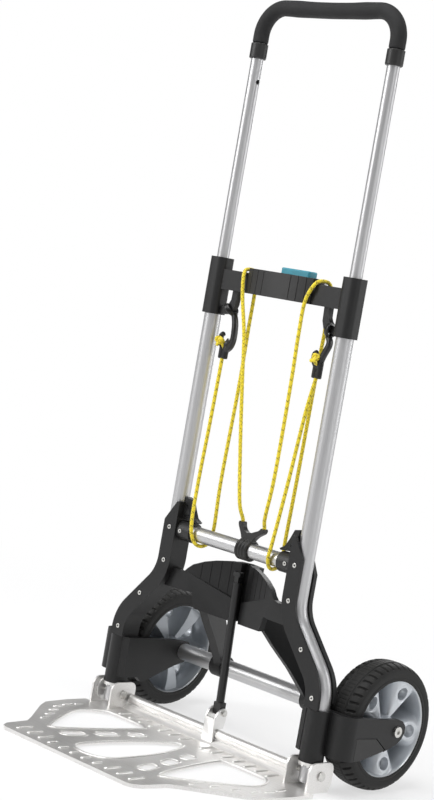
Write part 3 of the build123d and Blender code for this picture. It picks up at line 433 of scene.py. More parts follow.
def tidy(ob):
    """turn all faces outward"""
    bm = bmesh.new()
    bm.from_mesh(ob.data)
    bmesh.ops.recalc_face_normals(bm, faces=bm.faces)
    bm.to_mesh(ob.data)
    bm.free()
    ob.data.update()
    return ob


def discard(ob):
    mesh = ob.data
    bpy.data.objects.remove(ob)
    bpy.data.meshes.remove(mesh)


def modifier(ob, kind, **settings):
    added = ob.modifiers.new(kind.lower(), kind)
    for key, value in settings.items():
        setattr(added, key, value)


def apply_modifiers(ob):
    bpy.context.view_layer.update()
    depsgraph = bpy.context.evaluated_depsgraph_get()
    mesh = bpy.data.meshes.new_from_object(ob.evaluated_get(depsgraph),
                                           preserve_all_data_layers=True, depsgraph=depsgraph)
    old = ob.data
    ob.modifiers.clear()
    ob.data = mesh
    bpy.data.meshes.remove(old)


def join(parts, name):
    """one object from several meshes that share a material"""
    bm = bmesh.new()
    for part in parts:
        bm.from_mesh(part.data)
    mesh = bpy.data.meshes.new(name)
    bm.to_mesh(mesh)
    bm.free()
    material = parts[0].data.materials[0]
    for part in parts:
        discard(part)
    shade_smooth(mesh)
    ob = bpy.data.objects.new(name, mesh)
    scene.collection.objects.link(ob)
    paint(ob, material)
    return ob


def fuse(parts, name, voxel):
    """several overlapping closed forms become one moulded skin; voxel size in mm"""
    ob = join(parts, name)
    modifier(ob, "REMESH", mode="VOXEL", voxel_size=voxel * MM, use_smooth_shade=True)
    modifier(ob, "SMOOTH", factor=0.5, iterations=5)
    apply_modifiers(ob)
    shade_smooth(ob.data)
    return ob


def put(ob, body, slot, *replaced):
    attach(ob, body)
    if replaced:
        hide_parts(*replaced)


def unit(value):
    return np.clip(value, 0, 1)


def arc_length(points):
    """distance travelled along a path at each of its points"""
    steps = np.linalg.norm(np.diff(points, axis=0), axis=1)
    return np.concatenate([[0], np.cumsum(steps)])


def at_lengths(lengths, travelled, points):
    """points of a path at the given lengths along it"""
    return np.stack([np.interp(lengths, travelled, column) for column in points.T], 1)


def resample(points, step):
    points = np.array(points, float)
    travelled = arc_length(points)
    count = max(int(travelled[-1] / step), 3)
    return at_lengths(np.linspace(0, travelled[-1], count + 1), travelled, points)


def between(time, time0, point0, time1, point1):
    span = time1 - time0
    return (time1 - time) / span * point0 + (time - time0) / span * point1


def smooth_path(points, step, passes):
    """centripetal Catmull-Rom through the points, evenly resampled, then relaxed a little"""
    points = np.array(points, float)
    knots = np.vstack([2 * points[0] - points[1], points, 2 * points[-1] - points[-2]])
    dense = []
    for quad in zip(knots, knots[1:], knots[2:], knots[3:]):
        times = [0.0]
        for here, after in zip(quad, quad[1:]):
            times.append(times[-1] + np.linalg.norm(after - here) ** 0.5)
        for time in np.linspace(times[1], times[2], 24, endpoint=False):
            first = [between(time, times[i], quad[i], times[i + 1], quad[i + 1])
                     for i in range(3)]
            second = [between(time, times[i], first[i], times[i + 2], first[i + 1])
                      for i in range(2)]
            dense.append(between(time, times[1], second[0], times[2], second[1]))
    dense.append(knots[-2])
    path = resample(dense, step)
    for _ in range(passes):
        path[1:-1] = path[1:-1] * 0.5 + (path[:-2] + path[2:]) * 0.25
    return resample(path, step)


def frames(path, up=(0, 1, 0)):
    """tangents, and two normals carried along the path without twist"""
    tangents = np.gradient(path, axis=0)
    tangents /= np.linalg.norm(tangents, axis=1)[:, None]
    normals = []
    carried = np.array(up, float)
    for tangent in tangents:
        carried = carried - tangent * (carried @ tangent)
        carried = carried / np.linalg.norm(carried)
        normals.append(carried)
    normals = np.array(normals)
    return normals, np.cross(tangents, normals)


def grid_faces(rows, around, closed=False, flip=False):
    """quads between rows of points, each row a closed ring; closed joins the last row to
    the first"""
    faces = []
    for i in range(rows if closed else rows - 1):
        row, after = i * around, (i + 1) % rows * around
        for k in range(around):
            side = (k + 1) % around
            face = (row + k, row + side, after + side, after + k)
            faces.append(face[:1] + face[:0:-1] if flip else face)
    return faces


def capped_faces(rows, around):
    return grid_faces(rows, around) + [tuple(range(around))[::-1],
                                       tuple(range((rows - 1) * around, rows * around))]


def sweep(name, path, section, material, up=(0, 1, 0)):
    """section(share) gives the outline, as columns, at that share of the path's points"""
    path = np.array(path, float)
    normals, sides = frames(path, up)
    rows = []
    for i, point in enumerate(path):
        outline = np.array(section(i / (len(path) - 1)), float)
        rows.append(point + normals[i] * outline[:, :1] + sides[i] * outline[:, 1:2])
    return new_mesh(name, np.concatenate(rows), capped_faces(len(path), len(rows[0])), material)


def ring(count, radius, radius_side=None):
    angle = np.linspace(0, 2 * math.pi, count, endpoint=False)
    return np.stack([radius * np.cos(angle), (radius_side or radius) * np.sin(angle)], 1)


def superellipse(count, radius, radius_side, power=4.0):
    angle = np.linspace(0, 2 * math.pi, count, endpoint=False)
    cos, sin = np.cos(angle), np.sin(angle)
    return np.stack([radius * np.sign(cos) * np.abs(cos) ** (2 / power),
                     radius_side * np.sign(sin) * np.abs(sin) ** (2 / power)], 1)


def end_rounding(distance, radius, smallest):
    """scale of a section at a distance from the end: smallest at the end, 1 beyond radius"""
    inside = max(radius - distance, 0.0) / radius
    return smallest + (1 - smallest) * math.sqrt(1 - inside ** 2)


def corner_cut(points):
    """round the corners of a closed outline by cutting a quarter off each side, twice"""
    points = [np.array(point, float) for point in points]
    for _ in range(2):
        rounded = []
        for here, after in zip(points, points[1:] + points[:1]):
            rounded += [here + 0.25 * (after - here), after - 0.25 * (after - here)]
        points = rounded
    return np.array(points)


# ============================================================ CAD nodes kept
BEVEL_ANGLE = 32.0         # degrees; sharper edges than this are broken
FLAT_ANGLE = 0.6           # degrees; facets flatter than this are merged
WELD_DISTANCE = 2e-6       # metres

# nodes, material, edge width in mm, bevel segments, whether flat facets are merged
KEPT = (
    ("lower_tube_right lower_tube_left handle_tube", "tube_z", 0.4, 2, False),
    ("cross_tube axle_tube", "tube_x", 0.4, 2, False),
    ("rear_rail", "plate", 0.5, 2, False),
    ("toe_plate", "plate", 0.8, 2, True),
    ("plate_clevis toothed_sectors toothed_rings", "bracket", 0.5, 2, True),
    ("crossbar_housing arch_panel arch_legs wheel_arm_right wheel_arm_left side_cover_right "
     "side_cover_left", "black", 1.2, 3, True),
    ("crossbar_front_cover arm_cover_right arm_cover_left cross_tube_sockets grip_collars",
     "black_fine", 0.8, 2, True),
    ("skid_right skid_left", "skid", 2.0, 3, True),
    ("handle_glides guide_bushes wheel_bushes_right wheel_bushes_left", "nylon", 0.3, 2, True),
    ("cover_screws lock_pin_left lock_pin_right cover_rivets socket_screws axle_bolts "
     "axle_washers hinge_pins clevis_pin", "steel", 0.4, 2, True),
    ("release_button", "teal", 1.0, 3, True),
    ("strut_rod strut_foot", "strut", 0.6, 2, True),
)


def dress(node, material, width, segments, merge_flats):
    """weld a CAD node, break its edges with a small radius and give it its material"""
    ob = NODES[node]
    if "custom_normal" in ob.data.attributes:
        ob.data.attributes.remove(ob.data.attributes["custom_normal"])
    shade_smooth(ob.data)
    modifier(ob, "WELD", merge_threshold=WELD_DISTANCE)
    if merge_flats:
        modifier(ob, "DECIMATE", decimate_type="DISSOLVE", angle_limit=math.radians(FLAT_ANGLE))
    modifier(ob, "BEVEL", width=width * MM, segments=segments, limit_method="ANGLE",
             angle_limit=math.radians(BEVEL_ANGLE), harden_normals=True,
             use_clamp_overlap=True, miter_outer="MITER_ARC")
    paint(ob, material)


for nodes, key, width, segments, merge_flats in KEPT:
    for node in nodes.split():
        dress(node, MAT[key], width, segments, merge_flats)


# ============================================================ handle grip
def grip():
    """foam sleeve over the handle: a bar with two bends and short legs"""
    bend, top, low, half = 40.0, 1050.0, 998.5, 128.5    # bend radius, heights, half width
    step = 1.6
    legs = np.linspace(low, top - bend, 12)
    angles = np.linspace(0, math.pi / 2, 26)
    points = [(-half, 0, z) for z in legs]
    points += [(-half + bend - bend * math.cos(angle), 0, top - bend + bend * math.sin(angle))
               for angle in angles[1:]]
    points += [(x, 0, top) for x in np.linspace(-half + bend, half - bend, 60)[1:-1]]
    points += [(half - bend + bend * math.sin(angle), 0, top - bend + bend * math.cos(angle))
               for angle in angles]
    points += [(half, 0, z) for z in legs[::-1][1:]]
    path = resample(points, step)

    # the bar dips in the middle
    dip_half_width, dip_depth = 92.0, 1.9
    on_bar = path[:, 2] > top - 2
    path[:, 2] -= dip_depth * (unit(1 - (path[:, 0] / dip_half_width) ** 2) ** 1.5 * on_bar)
    length = (len(path) - 1) * step

    def section(share):
        rounding = end_rounding(min(share, 1 - share) * length, radius=3.0, smallest=0.88)
        # two gentle swellings at 31 % and 69 % of the length
        swell = sum(0.5 * math.exp(-(((share - centre) / 0.05) ** 2)) for centre in (0.31, 0.69))
        return ring(64, (11.45 + swell) * rounding, (11.3 + swell) * rounding)

    put(sweep("grip_sleeve", path, section, MAT["foam"]), "handle", "grip_foam", "handle_grip")


# ============================================================ wheels
def wheel_points(sign, axial, radius, angle):
    """points about a wheel's axis; axial is measured outward, angle from +Y towards +Z"""
    axial, radius, angle = np.broadcast_arrays(axial, radius, angle)
    return np.stack([sign * (WHEEL_X + axial), WHEEL_Y + radius * np.cos(angle),
                     WHEEL_Z + radius * np.sin(angle)], -1).reshape(-1, 3)


# half the tyre's section from the bead to the crown: distance from the wheel's plane, radius
TYRE_HALF = [
    (25.6, 67.5), (26.0, 69.4), (25.9, 71.0), (25.2, 72.2), (25.3, 73.4), (25.75, 75.5),
    (25.9, 78.0), (25.6, 80.2), (25.0, 81.6), (24.6, 82.3), (24.0, 83.4), (22.8, 84.9),
    (20.9, 86.4), (18.0, 87.8), (14.5, 88.8), (10.5, 89.5), (6.0, 89.9), (2.2, 90.0),
]
TREAD_PITCHES = 46         # shoulder blocks round the tyre
TREAD_HALF_WIDTH = 24.0


def tyre(side):
    """carcass with a smooth side wall, a moulded step and chunky shoulder blocks"""
    profile = np.array(TYRE_HALF + [(0.0, TYRE_RADIUS)] + [(-x, r) for x, r in TYRE_HALF[::-1]])
    travelled = arc_length(profile)
    section = at_lengths(np.linspace(0, travelled[-1], 120), travelled, profile)
    turn = np.arange(WHEEL_STEPS) * 2 * math.pi / WHEEL_STEPS
    axial, angle = np.meshgrid(section[:, 0], turn)
    radius = np.meshgrid(section[:, 1], turn)[0]
    across = axial / TREAD_HALF_WIDTH
    from_middle = np.abs(across)

    # slanted grooves between the shoulder blocks, staggered by half a pitch side to side
    phase = angle * TREAD_PITCHES / (2 * math.pi)
    skew = phase + from_middle * 0.35 + np.where(across > 0, 0.5, 0.0)
    from_groove = np.abs((skew % 1.0) - 0.5) * 2
    groove = 1 - unit((from_groove - 0.20) / 0.16)
    on_shoulder = unit((from_middle - 0.44) / 0.08)
    depth = 2.6 * groove * unit((radius - 83.4) / 1.2) * on_shoulder
    # two narrow grooves round the crown
    crown = 1 - unit((np.abs(from_middle - 0.36) - 0.025) / 0.035)
    depth = np.maximum(depth, 1.5 * crown * unit((radius - 84.6) / 1.4))
    # low sipes on the crown rib, two to a pitch
    sipe = 1 - unit((np.abs(((phase * 2) % 1.0) - 0.5) - 0.06) / 0.06)
    depth = np.maximum(depth, 0.6 * sipe * (from_middle < 0.28))
    # two fine raised rings on the side wall
    rings = (0.28 * np.exp(-((radius - 74.0) / 0.45) ** 2)
             + 0.22 * np.exp(-((radius - 80.6) / 0.4) ** 2))

    # move each point along the outward normal of the section
    slope = np.gradient(section, axis=0)
    slope /= np.hypot(slope[:, 0], slope[:, 1])[:, None]
    offset = rings - depth
    points = wheel_points(SIGN[side], axial + slope[None, :, 1] * offset,
                          radius - slope[None, :, 0] * offset, angle)
    faces = grid_faces(WHEEL_STEPS, len(section), closed=True, flip=True)
    ob = tidy(new_mesh("tyre_" + side + "_tread", points, faces, MAT["rubber"]))
    put(ob, "wheel_" + side, "tyre", "tyre_" + side)


def step_down(distance, edge, softness):
    """1 inside the edge, 0 outside, with a soft step"""
    return 1 / (1 + np.exp((distance - edge) / softness))


def rim_faces(stations, band_rows):
    """faces of the outer face, the inner face, and the band and bore that join them"""
    inner = WHEEL_STEPS * stations
    band = 2 * inner
    turns = [(i, (i + 1) % WHEEL_STEPS) for i in range(WHEEL_STEPS)]
    faces = []
    for base, order in ((0, 1), (inner, -1)):
        for i, j in turns:
            row, after = base + i * stations, base + j * stations
            for k in range(stations - 1):
                faces.append((row + k, after + k, after + k + 1, row + k + 1)[::order])
    last = stations - 1
    band_end = band + (band_rows - 1) * WHEEL_STEPS
    for i, j in turns:
        row, after = i * stations, j * stations
        faces.append((row + last, after + last, band + j, band + i))
        for k in range(band_rows - 1):
            here = band + k * WHEEL_STEPS
            beyond = here + WHEEL_STEPS
            faces.append((here + i, here + j, beyond + j, beyond + i))
        faces.append((band_end + i, band_end + j, inner + after + last, inner + row + last))
        faces.append((after, row, inner + row, inner + after))
    return faces


# flange section from the outer face to the wheel's plane: distance from the plane, radius
FLANGE_HALF = [(23.6, 67.3), (25.4, 67.6), (25.7, 68.4), (25.5, 69.4), (24.6, 69.9),
               (23.0, 69.95), (0.0, 69.95)]


def rim(side, phase):
    """five steep-sided petals, a round hole through each near the flange; phase in degrees"""
    sign = SIGN[side]
    well_start = 64.4
    hub_height, well_height = 25.6, 23.0
    stations = np.concatenate([np.linspace(9.2, 16.0, 8), np.linspace(16.6, well_start, 76),
                               [64.9, 65.4, 65.9, 66.3, 66.6, RIM_FACE_RADIUS]])
    turn = np.arange(WHEEL_STEPS) * 2 * math.pi / WHEEL_STEPS
    radius, angle = np.meshgrid(stations, turn)
    pitch = 2 * math.pi / PETALS
    petal = (angle - math.radians(phase)) / pitch
    from_petal = (petal - np.round(petal)) * pitch     # angle from the nearest petal's centre

    # petals widen and rise outward: flat front, steep sides, a hollow floor between them
    grow = unit((radius - 14.0) / 50.0)
    half_width = 5.5 + 22.5 * grow
    share = unit(np.abs(from_petal * radius) / half_width)
    flank = unit(1 - share ** 4.5) ** 0.80
    top = 13.0 + 8.0 * grow
    floor = -4.0 - 10.0 * np.sin(grow * 1.9)
    outer = floor + (top - floor) * flank
    inner = outer - 4.5                                # wall thickness
    # thick-walled boss round each hole, with a shallow step in front
    from_hole = np.hypot(radius * np.cos(from_petal) - HOLE_CIRCLE, radius * np.sin(from_petal))
    boss = step_down(from_hole, edge=12.4, softness=0.30)
    outer = outer - 1.3 * boss
    inner = inner - 9.0 * boss
    hub = step_down(radius, edge=15.4, softness=0.35)
    outer = outer * (1 - hub) + hub_height * hub
    inner = inner * (1 - hub) - hub_height * hub
    # both faces run out to the flange
    well = unit((radius - well_start) / 2.0) ** 2
    outer = outer + (well_height - outer) * well
    inner = inner + (-well_height - inner) * well

    band = FLANGE_HALF + [(-x, r) for x, r in FLANGE_HALF[::-1][1:]]
    points = [wheel_points(sign, face, radius, angle) for face in (outer, inner)]
    points += [wheel_points(sign, x, r, turn) for x, r in band]
    ob = tidy(new_mesh("rim_" + side + "_petals", np.concatenate(points),
                       rim_faces(len(stations), len(band)), MAT["rim"]))

    hole_radius, reach = 9.2, np.array((40.0, 0, 0))
    cutters = []
    for k in range(PETALS):
        hole = wheel_points(sign, 0.0, HOLE_CIRCLE, math.radians(phase + 360 / PETALS * k))[0]
        cutters.append(sweep("cutter", [hole - reach, hole + reach],
                             lambda share: ring(64, hole_radius), MAT["rim"]))
    cutter = tidy(join(cutters, "cutter_all"))
    modifier(ob, "BOOLEAN", operation="DIFFERENCE", object=cutter, solver="EXACT")
    apply_modifiers(ob)
    discard(cutter)
    modifier(ob, "BEVEL", width=0.6 * MM, segments=2, limit_method="ANGLE",
             angle_limit=math.radians(50), use_clamp_overlap=True)
    put(ob, "wheel_" + side, "rim_plastic", "wheel_rim_" + side)


# ============================================================ elastic cords
STRANDS = 6
BRAID_PITCH = 10.0         # mm of cord per turn of a strand
BRAID_AROUND = 36          # points round the cord

# x, y, z of each cord's centre line, from its hook end to its end in the cord clip
CORD_PATHS = {
    "left": [
        (-95.2, 0, 547), (-93.2, -4, 450), (-91, -9, 360), (-84.6, -14.5, 306.5),
        (-80.5, -14.9, 290), (-76.5, -9, 277), (-73.6, 0, 273.6), (-70.5, 9, 277),
        (-68.5, 14.6, 289), (-66.8, 14.4, 302), (-69.3, 14.6, 365), (-67.9, 16, 519),
        (-70.6, 17.6, 599), (-70.9, 18.0, 643), (-72.3, 17.6, 668), (-72.6, 12, 675.8),
        (-72.1, 2, 677.2), (-71.2, -8, 675.0), (-68.5, -12.6, 668), (-63.6, -13.4, 640),
        (-47.7, -13, 585), (-35.8, -12.8, 522), (-16, -12, 420), (-1.5, -9, 347),
        (0.5, -4.6, 336), (1.2, -0.8, 329), (1.2, 0.0, 322.5)],
    "right": [
        (89.5, 0, 547), (83.7, -2, 500), (79, -8, 394), (74.6, -14, 306),
        (73.2, -14.9, 290), (72.2, -9, 277), (71.6, 0, 273.6), (71.9, 9, 277),
        (72.6, 14.6, 289), (72.9, 14.4, 315), (74.2, 14.6, 394), (74.9, 16, 578),
        (74.0, 18, 603), (73.4, 18.0, 643), (73.0, 17.4, 668), (72.0, 11.5, 675.8),
        (71.0, 2, 677.2), (68.8, -8, 675.0), (66.0, -12.6, 668), (57.4, -13.8, 648),
        (55.3, -13.2, 599), (56.7, -12.8, 536), (55.9, -12, 389), (49.5, -9, 345),
        (45.6, -4.6, 333.5), (44.0, -0.8, 327), (43.6, 0.0, 320.5)],
}


def braid(name, path, cord_radius):
    """round braid: two families of strands crossing over and under, with a dark tracer"""
    normals, sides = frames(path)
    turn = np.linspace(0, 2 * math.pi, BRAID_AROUND, endpoint=False)
    along, angle = np.meshgrid(arc_length(path), turn, indexing="ij")
    around = angle / (2 * math.pi) * STRANDS
    advance = along / BRAID_PITCH * STRANDS
    one_way, other_way = around + advance, around - advance
    one_index, other_index = np.floor(one_way), np.floor(other_way)
    over = ((one_index + other_index) % 2) == 0
    height = np.where(over, np.sin(np.pi * (one_way % 1.0)), np.sin(np.pi * (other_way % 1.0)))
    # one strand of each family is dark
    dark = (over & (one_index % STRANDS == 0)) | (~over & (other_index % STRANDS == 3))
    tracer = dark & (height > 0.35)
    radius = cord_radius * (0.90 + 0.12 * np.sqrt(height))
    points = (path[:, None, :] + normals[:, None, :] * (radius * np.cos(angle))[..., None]
              + sides[:, None, :] * (radius * np.sin(angle))[..., None])
    ob = new_mesh(name, points.reshape(-1, 3), capped_faces(len(path), BRAID_AROUND),
                  MAT["cord"])
    # the braid height also drives the painted shade between the strands in the cord material
    for key, values in (("braid", height), ("tracer", tracer)):
        attribute = ob.data.attributes.new(key, "FLOAT", "POINT")
        attribute.data.foreach_set("value", values.reshape(-1).astype(np.float32))
    return ob


def knot_path(centre, size, axis_in, axis_up):
    """trefoil loop, flattened across the two given axes"""
    ahead = np.array(axis_in, float)
    ahead /= np.linalg.norm(ahead)
    up = np.array(axis_up, float)
    up -= ahead * (ahead @ up)
    up /= np.linalg.norm(up)
    across = np.cross(ahead, up)
    points = []
    for turn in np.linspace(0.0, 2 * math.pi * 0.985, 90):
        x = math.sin(turn) + 2 * math.sin(2 * turn)
        y = math.cos(turn) - 2 * math.cos(2 * turn)
        z = -math.sin(3 * turn)
        points.append(np.array(centre) + size * (x / 3 * ahead + y / 3 * up + 0.42 * z * across))
    return np.array(points)


def cords():
    for side, points in CORD_PATHS.items():
        path = smooth_path(points, step=0.6, passes=14)
        ob = braid("cord_" + side + "_braid", path, CORD_RADIUS)
        put(ob, "frame", "cord", "cord_" + side)


grip()
tyre("right")
tyre("left")
rim("right", phase=64.0)
rim("left", phase=96.0)
cords()


# ============================================================ springs
def coil(name, centre, axis, radius, length, turns, *replaced):
    wire = 0.5             # wire radius
    axis = np.array(axis, float)
    first = np.cross(axis, (0.3, 0.9, 0.1))
    first /= np.linalg.norm(first)
    second = np.cross(axis, first)
    path = []
    for share in np.linspace(0, 1, int(turns * 36)):
        # the coils lie closer at both ends
        rise = 0.25 * (0.5 - 0.5 * math.cos(share * math.pi)) + 0.75 * share
        angle = 2 * math.pi * turns * share
        path.append(np.array(centre) + axis * ((length - 2 * wire) * rise + wire)
                    + radius * (first * math.cos(angle) + second * math.sin(angle)))
    ob = sweep(name, path, lambda share: ring(12, wire), MAT["steel"])
    put(ob, "frame", "steel", *replaced)


for side, sign in SIGN.items():
    # the right-hand springs stand in for the CAD nodes, which hold both sides
    replaced = [("button_springs",), ("lock_springs",)] if side == "right" else [(), ()]
    coil("button_spring_" + side, (18 * sign, 26.5, 657.0), (0, 0, 1), 3.4, 5.4, 4.5,
         *replaced[0])
    coil("lock_spring_" + side, (102.5 * sign, 0, 663.0), (sign, 0, 0), 3.85, 6.8, 5.0,
         *replaced[1])


# ============================================================ cord hooks
# x is the distance outward from the middle plane; saddle, horn, knot and tail give x from the
# barrel's axis. "down" is the (x, z) direction in which the ring's section angles start.
HOOKS = {
    "left": dict(
        ring=(94.5, 1.5, 617.0), down=(-0.7071, -0.7071), barrel=94.5,
        strap=[(87.6, 1.5, 610.0), (84.0, 1.0, 603), (81.2, 0.4, 595), (79.8, 0, 586),
               (79.4, 0, 577), (80.6, 0, 568.5), (83.6, 0, 562), (89.0, 0, 557.5)],
        saddle=[(-9.0, 0, 573), (-6.5, 0, 568), (-3.0, 0, 563.5), (0, 0, 560)],
        horn=[(3.0, 0, 560), (7.5, 0, 566), (9.8, 0, 572), (9.5, 0, 577.5), (5.5, 0, 580.5)],
        knot=(6.5, -5.6, 569.0), knot_rise=0.35,
        tail=[(0, 0.2, 553), (0.5, -1.5, 562), (2.5, -4.8, 567)]),
    "right": dict(
        ring=(100.0, 1.5, 613.8), down=(-0.35, -0.9367), barrel=89.4,
        strap=[(96.6, 1.5, 604.9), (99.6, 1.0, 601.0), (102.4, 0.4, 596.0), (101.6, 0, 590),
               (98.2, 0, 583), (95.0, 0, 576), (92.4, 0, 568), (90.2, 0, 559)],
        saddle=[(1.5, 0, 573), (1.0, 0, 568), (0.5, 0, 563.5), (0, 0, 560)],
        horn=[(-3.0, 0, 560), (-7.5, -1, 566), (-9.6, -1, 572), (-9.0, -1, 577.5),
              (-5.0, -1, 580.5)],
        knot=(-3.0, -6.2, 570.5), knot_rise=0.9,
        tail=[(0, 0.2, 553), (0.5, -1.5, 562), (-1.5, -4.8, 567)]),
}
HOOK_RING_RADIUS = 9.3
BARREL_LOW, BARREL_HIGH = 544.5, 568.0
BARREL_OFFSET = 3.5        # each half of the twin barrel from its axis


def hook(side):
    """moulded hook: open ring, bent strap, twin barrel and a horn; the knotted cord end"""
    sign = SIGN[side]
    shape = HOOKS[side]
    barrel = shape["barrel"]

    def place(points, origin=0.0):
        return [(sign * (origin + x), y, z) for x, y, z in points]

    def bar(path, section, up=(0, 1, 0)):
        return sweep("part", path, section, MAT["gloss"], up)

    def barrel_section(share):
        end = min(share, 1 - share) * (BARREL_HIGH - BARREL_LOW)
        rounding = end_rounding(end, radius=2.0, smallest=0.78)
        return ring(28, 4.3 * rounding, 4.9 * rounding)

    # ring, open on its upper side
    ring_x, ring_y, ring_z = shape["ring"]
    down_x, down_z = shape["down"]
    loop = [(ring_x + HOOK_RING_RADIUS * math.cos(angle) * down_x,
             ring_y + HOOK_RING_RADIUS * math.sin(angle),
             ring_z + HOOK_RING_RADIUS * math.cos(angle) * down_z)
            for angle in np.linspace(-2.45, 2.15, 60)]
    parts = [bar(place(loop), lambda share: superellipse(24, 3.6, 2.5), up=(1, 0, 0))]
    # strap, a little thicker halfway
    parts.append(bar(smooth_path(place(shape["strap"]), step=0.8, passes=6),
                     lambda share: superellipse(28, 4.4, 3.3 + 0.5 * math.sin(math.pi * share))))
    for offset in (-BARREL_OFFSET, BARREL_OFFSET):
        heights = np.linspace(BARREL_LOW, BARREL_HIGH, 26)
        parts.append(bar(place([(offset, 0.0, z) for z in heights], barrel), barrel_section))
    # saddle between the strap and the barrel
    parts.append(bar(smooth_path(place(shape["saddle"], barrel), step=0.8, passes=2),
                     lambda share: superellipse(28, 3.4, 4.6 + 1.5 * share)))
    # horn rising from the barrel
    parts.append(bar(smooth_path(place(shape["horn"], barrel), step=0.8, passes=4),
                     lambda share: superellipse(24, 4.0 - 0.4 * share, 3.3, 3.0)))
    ob = fuse(parts, "cord_hook_" + side + "_moulding", voxel=0.55)
    put(ob, "frame", "black_plastic", "cord_hook_" + side)

    # knotted end of the cord in front of the horn, and the tail that leads up to it
    knot = knot_path(place([shape["knot"]], barrel)[0], 6.2,
                     axis_in=(sign * 0.9, -0.1, shape["knot_rise"]), axis_up=(0.1, 0.2, 1.0))
    tail = smooth_path(place(shape["tail"], barrel), step=0.7, passes=4)
    for name, path in (("cord_knot_", resample(knot, 0.7)), ("cord_tail_", tail)):
        put(braid(name + side, path, KNOT_CORD_RADIUS), "frame", "cord")


hook("left")
hook("right")


# ============================================================ toe plate pressings
LIP_Z = 4.0                # centre height of the rolled lips
BEAD_Z = 4.4               # foot of the pressed beads
SLOT_END_RADIUS = 9.0

# outlines in the floor plane: x, y; the side opening is mirrored
SIDE_OPENING = [(106, -201), (126, -180), (178, -100), (184, -72), (166, -38), (148, -36),
                (86, -36), (74, -46)]
CENTRE_OPENING = [(-34, -228), (34, -228), (35, -160), (27, -96), (8, -44), (-8, -44),
                  (-27, -96), (-35, -160)]
SLOTS = ((77, -180, 40), (65, -128, 35), (53, -82, 27))      # x, y, length; mirrored
SIDE_BEADS = ((-168, 153), (-146, 169), (-124, 187), (-102, 203), (-80, 208), (-58, 207))  # y, x


def rolled_lip(outline, shift, half_width, half_height, step=1.6):
    """closed rounded roll along an outline, moved outward by shift"""
    x, y = outline.T
    if np.sum(x * np.roll(y, -1) - np.roll(x, -1) * y) < 0:
        outline = outline[::-1]
    closed = np.vstack([outline, outline[:1]])
    travelled = arc_length(closed)
    count = max(int(travelled[-1] / step), 12)
    centre = at_lengths(np.linspace(0, travelled[-1], count, endpoint=False), travelled, closed)
    for _ in range(3):
        centre = centre * 0.5 + (np.roll(centre, 1, 0) + np.roll(centre, -1, 0)) * 0.25
    tangent = np.roll(centre, -1, 0) - np.roll(centre, 1, 0)
    tangent /= np.linalg.norm(tangent, axis=1)[:, None]
    outward = np.stack([tangent[:, 1], -tangent[:, 0]], 1)
    section = superellipse(20, half_width, half_height, 2.4)
    points = [(*(here + side * (shift + across)), LIP_Z + height)
              for here, side in zip(centre, outward) for across, height in section]
    faces = grid_faces(count, len(section), closed=True)
    return tidy(new_mesh("part", points, faces, MAT["plate"]))


def slot_outline(x, y, length, angle):
    """round-ended slot whose length lies at the given angle from +X"""
    reach = (length - 2 * SLOT_END_RADIUS) / 2
    cos, sin = math.cos(angle), math.sin(angle)
    points = []
    for centre, start in ((reach, -math.pi / 2), (-reach, math.pi / 2)):
        for turn in np.linspace(start, start + math.pi, 15):
            along = centre + SLOT_END_RADIUS * math.cos(turn)
            across = SLOT_END_RADIUS * math.sin(turn)
            points.append((x + along * cos - across * sin, y + along * sin + across * cos))
    return np.array(points)


def bead(x, y, length, width, top):
    """pressed bead: a dome on a long oval that runs front to back, cut flat on top"""
    radius = width / 2
    half = length / 2 - radius
    around, rows = 40, 8
    points = []
    for rise in np.linspace(0, math.pi / 2, rows + 1)[:-1]:
        for turn in np.linspace(0, 2 * math.pi, around, endpoint=False):
            along = math.copysign(half, math.cos(turn)) + radius * math.cos(rise) * math.cos(turn)
            across = radius * math.cos(rise) * math.sin(turn)
            points.append((x - across, y + along, BEAD_Z + (top - BEAD_Z) * math.sin(rise)))
    faces = grid_faces(rows, around)
    faces.append(tuple(range((rows - 1) * around, rows * around)))
    faces.append(tuple(range(around))[::-1])
    return tidy(new_mesh("part", points, faces, MAT["plate"]))


def plate_pressings():
    opening_lip = dict(shift=1.5, half_width=2.4, half_height=2.5)
    slot_lip = dict(shift=1.1, half_width=1.9, half_height=1.9, step=1.2)
    lips, beads = [], []
    for sign in (-1, 1):
        opening = corner_cut([(sign * x, y) for x, y in SIDE_OPENING])
        lips.append(rolled_lip(opening, **opening_lip))
        for x, y, length in SLOTS:
            outline = slot_outline(sign * x, y, length, math.radians(-sign * 72))
            lips.append(rolled_lip(outline, **slot_lip))
    lips.append(rolled_lip(corner_cut(CENTRE_OPENING), **opening_lip))

    # front row, set further forward and shorter near the middle
    for x in range(-115, 116, 23):
        y, length = (-243, 19) if abs(x) < 60 else (-236, 29)
        beads.append(bead(x, y, length, width=6.6, top=7.0))
    for sign in (-1, 1):
        for y, x in SIDE_BEADS:
            beads.append(bead(sign * x, y, length=19, width=6.2, top=6.8))
    # rear row, none in the middle
    for k in range(-7, 8):
        if k:
            beads.append(bead(k * 21.5, -16, length=27, width=6.6, top=7.2))
    put(join(lips, "toe_plate_rolled_lips"), "plate", "plate_aluminium")
    put(join(beads, "toe_plate_beads"), "plate", "plate_aluminium")


plate_pressings()


# ============================================================ cord clip
CLIP_LEFT, CLIP_RIGHT = 5.8, 29.0      # ends of the barrel
CLIP_Z = 289.0                         # axis of the barrel
CLIP_BORE = 11.4                       # bore radius
HORN_FOOT = CLIP_Z + CLIP_BORE + 0.5
HORN_HALF_DEPTH = 4.6

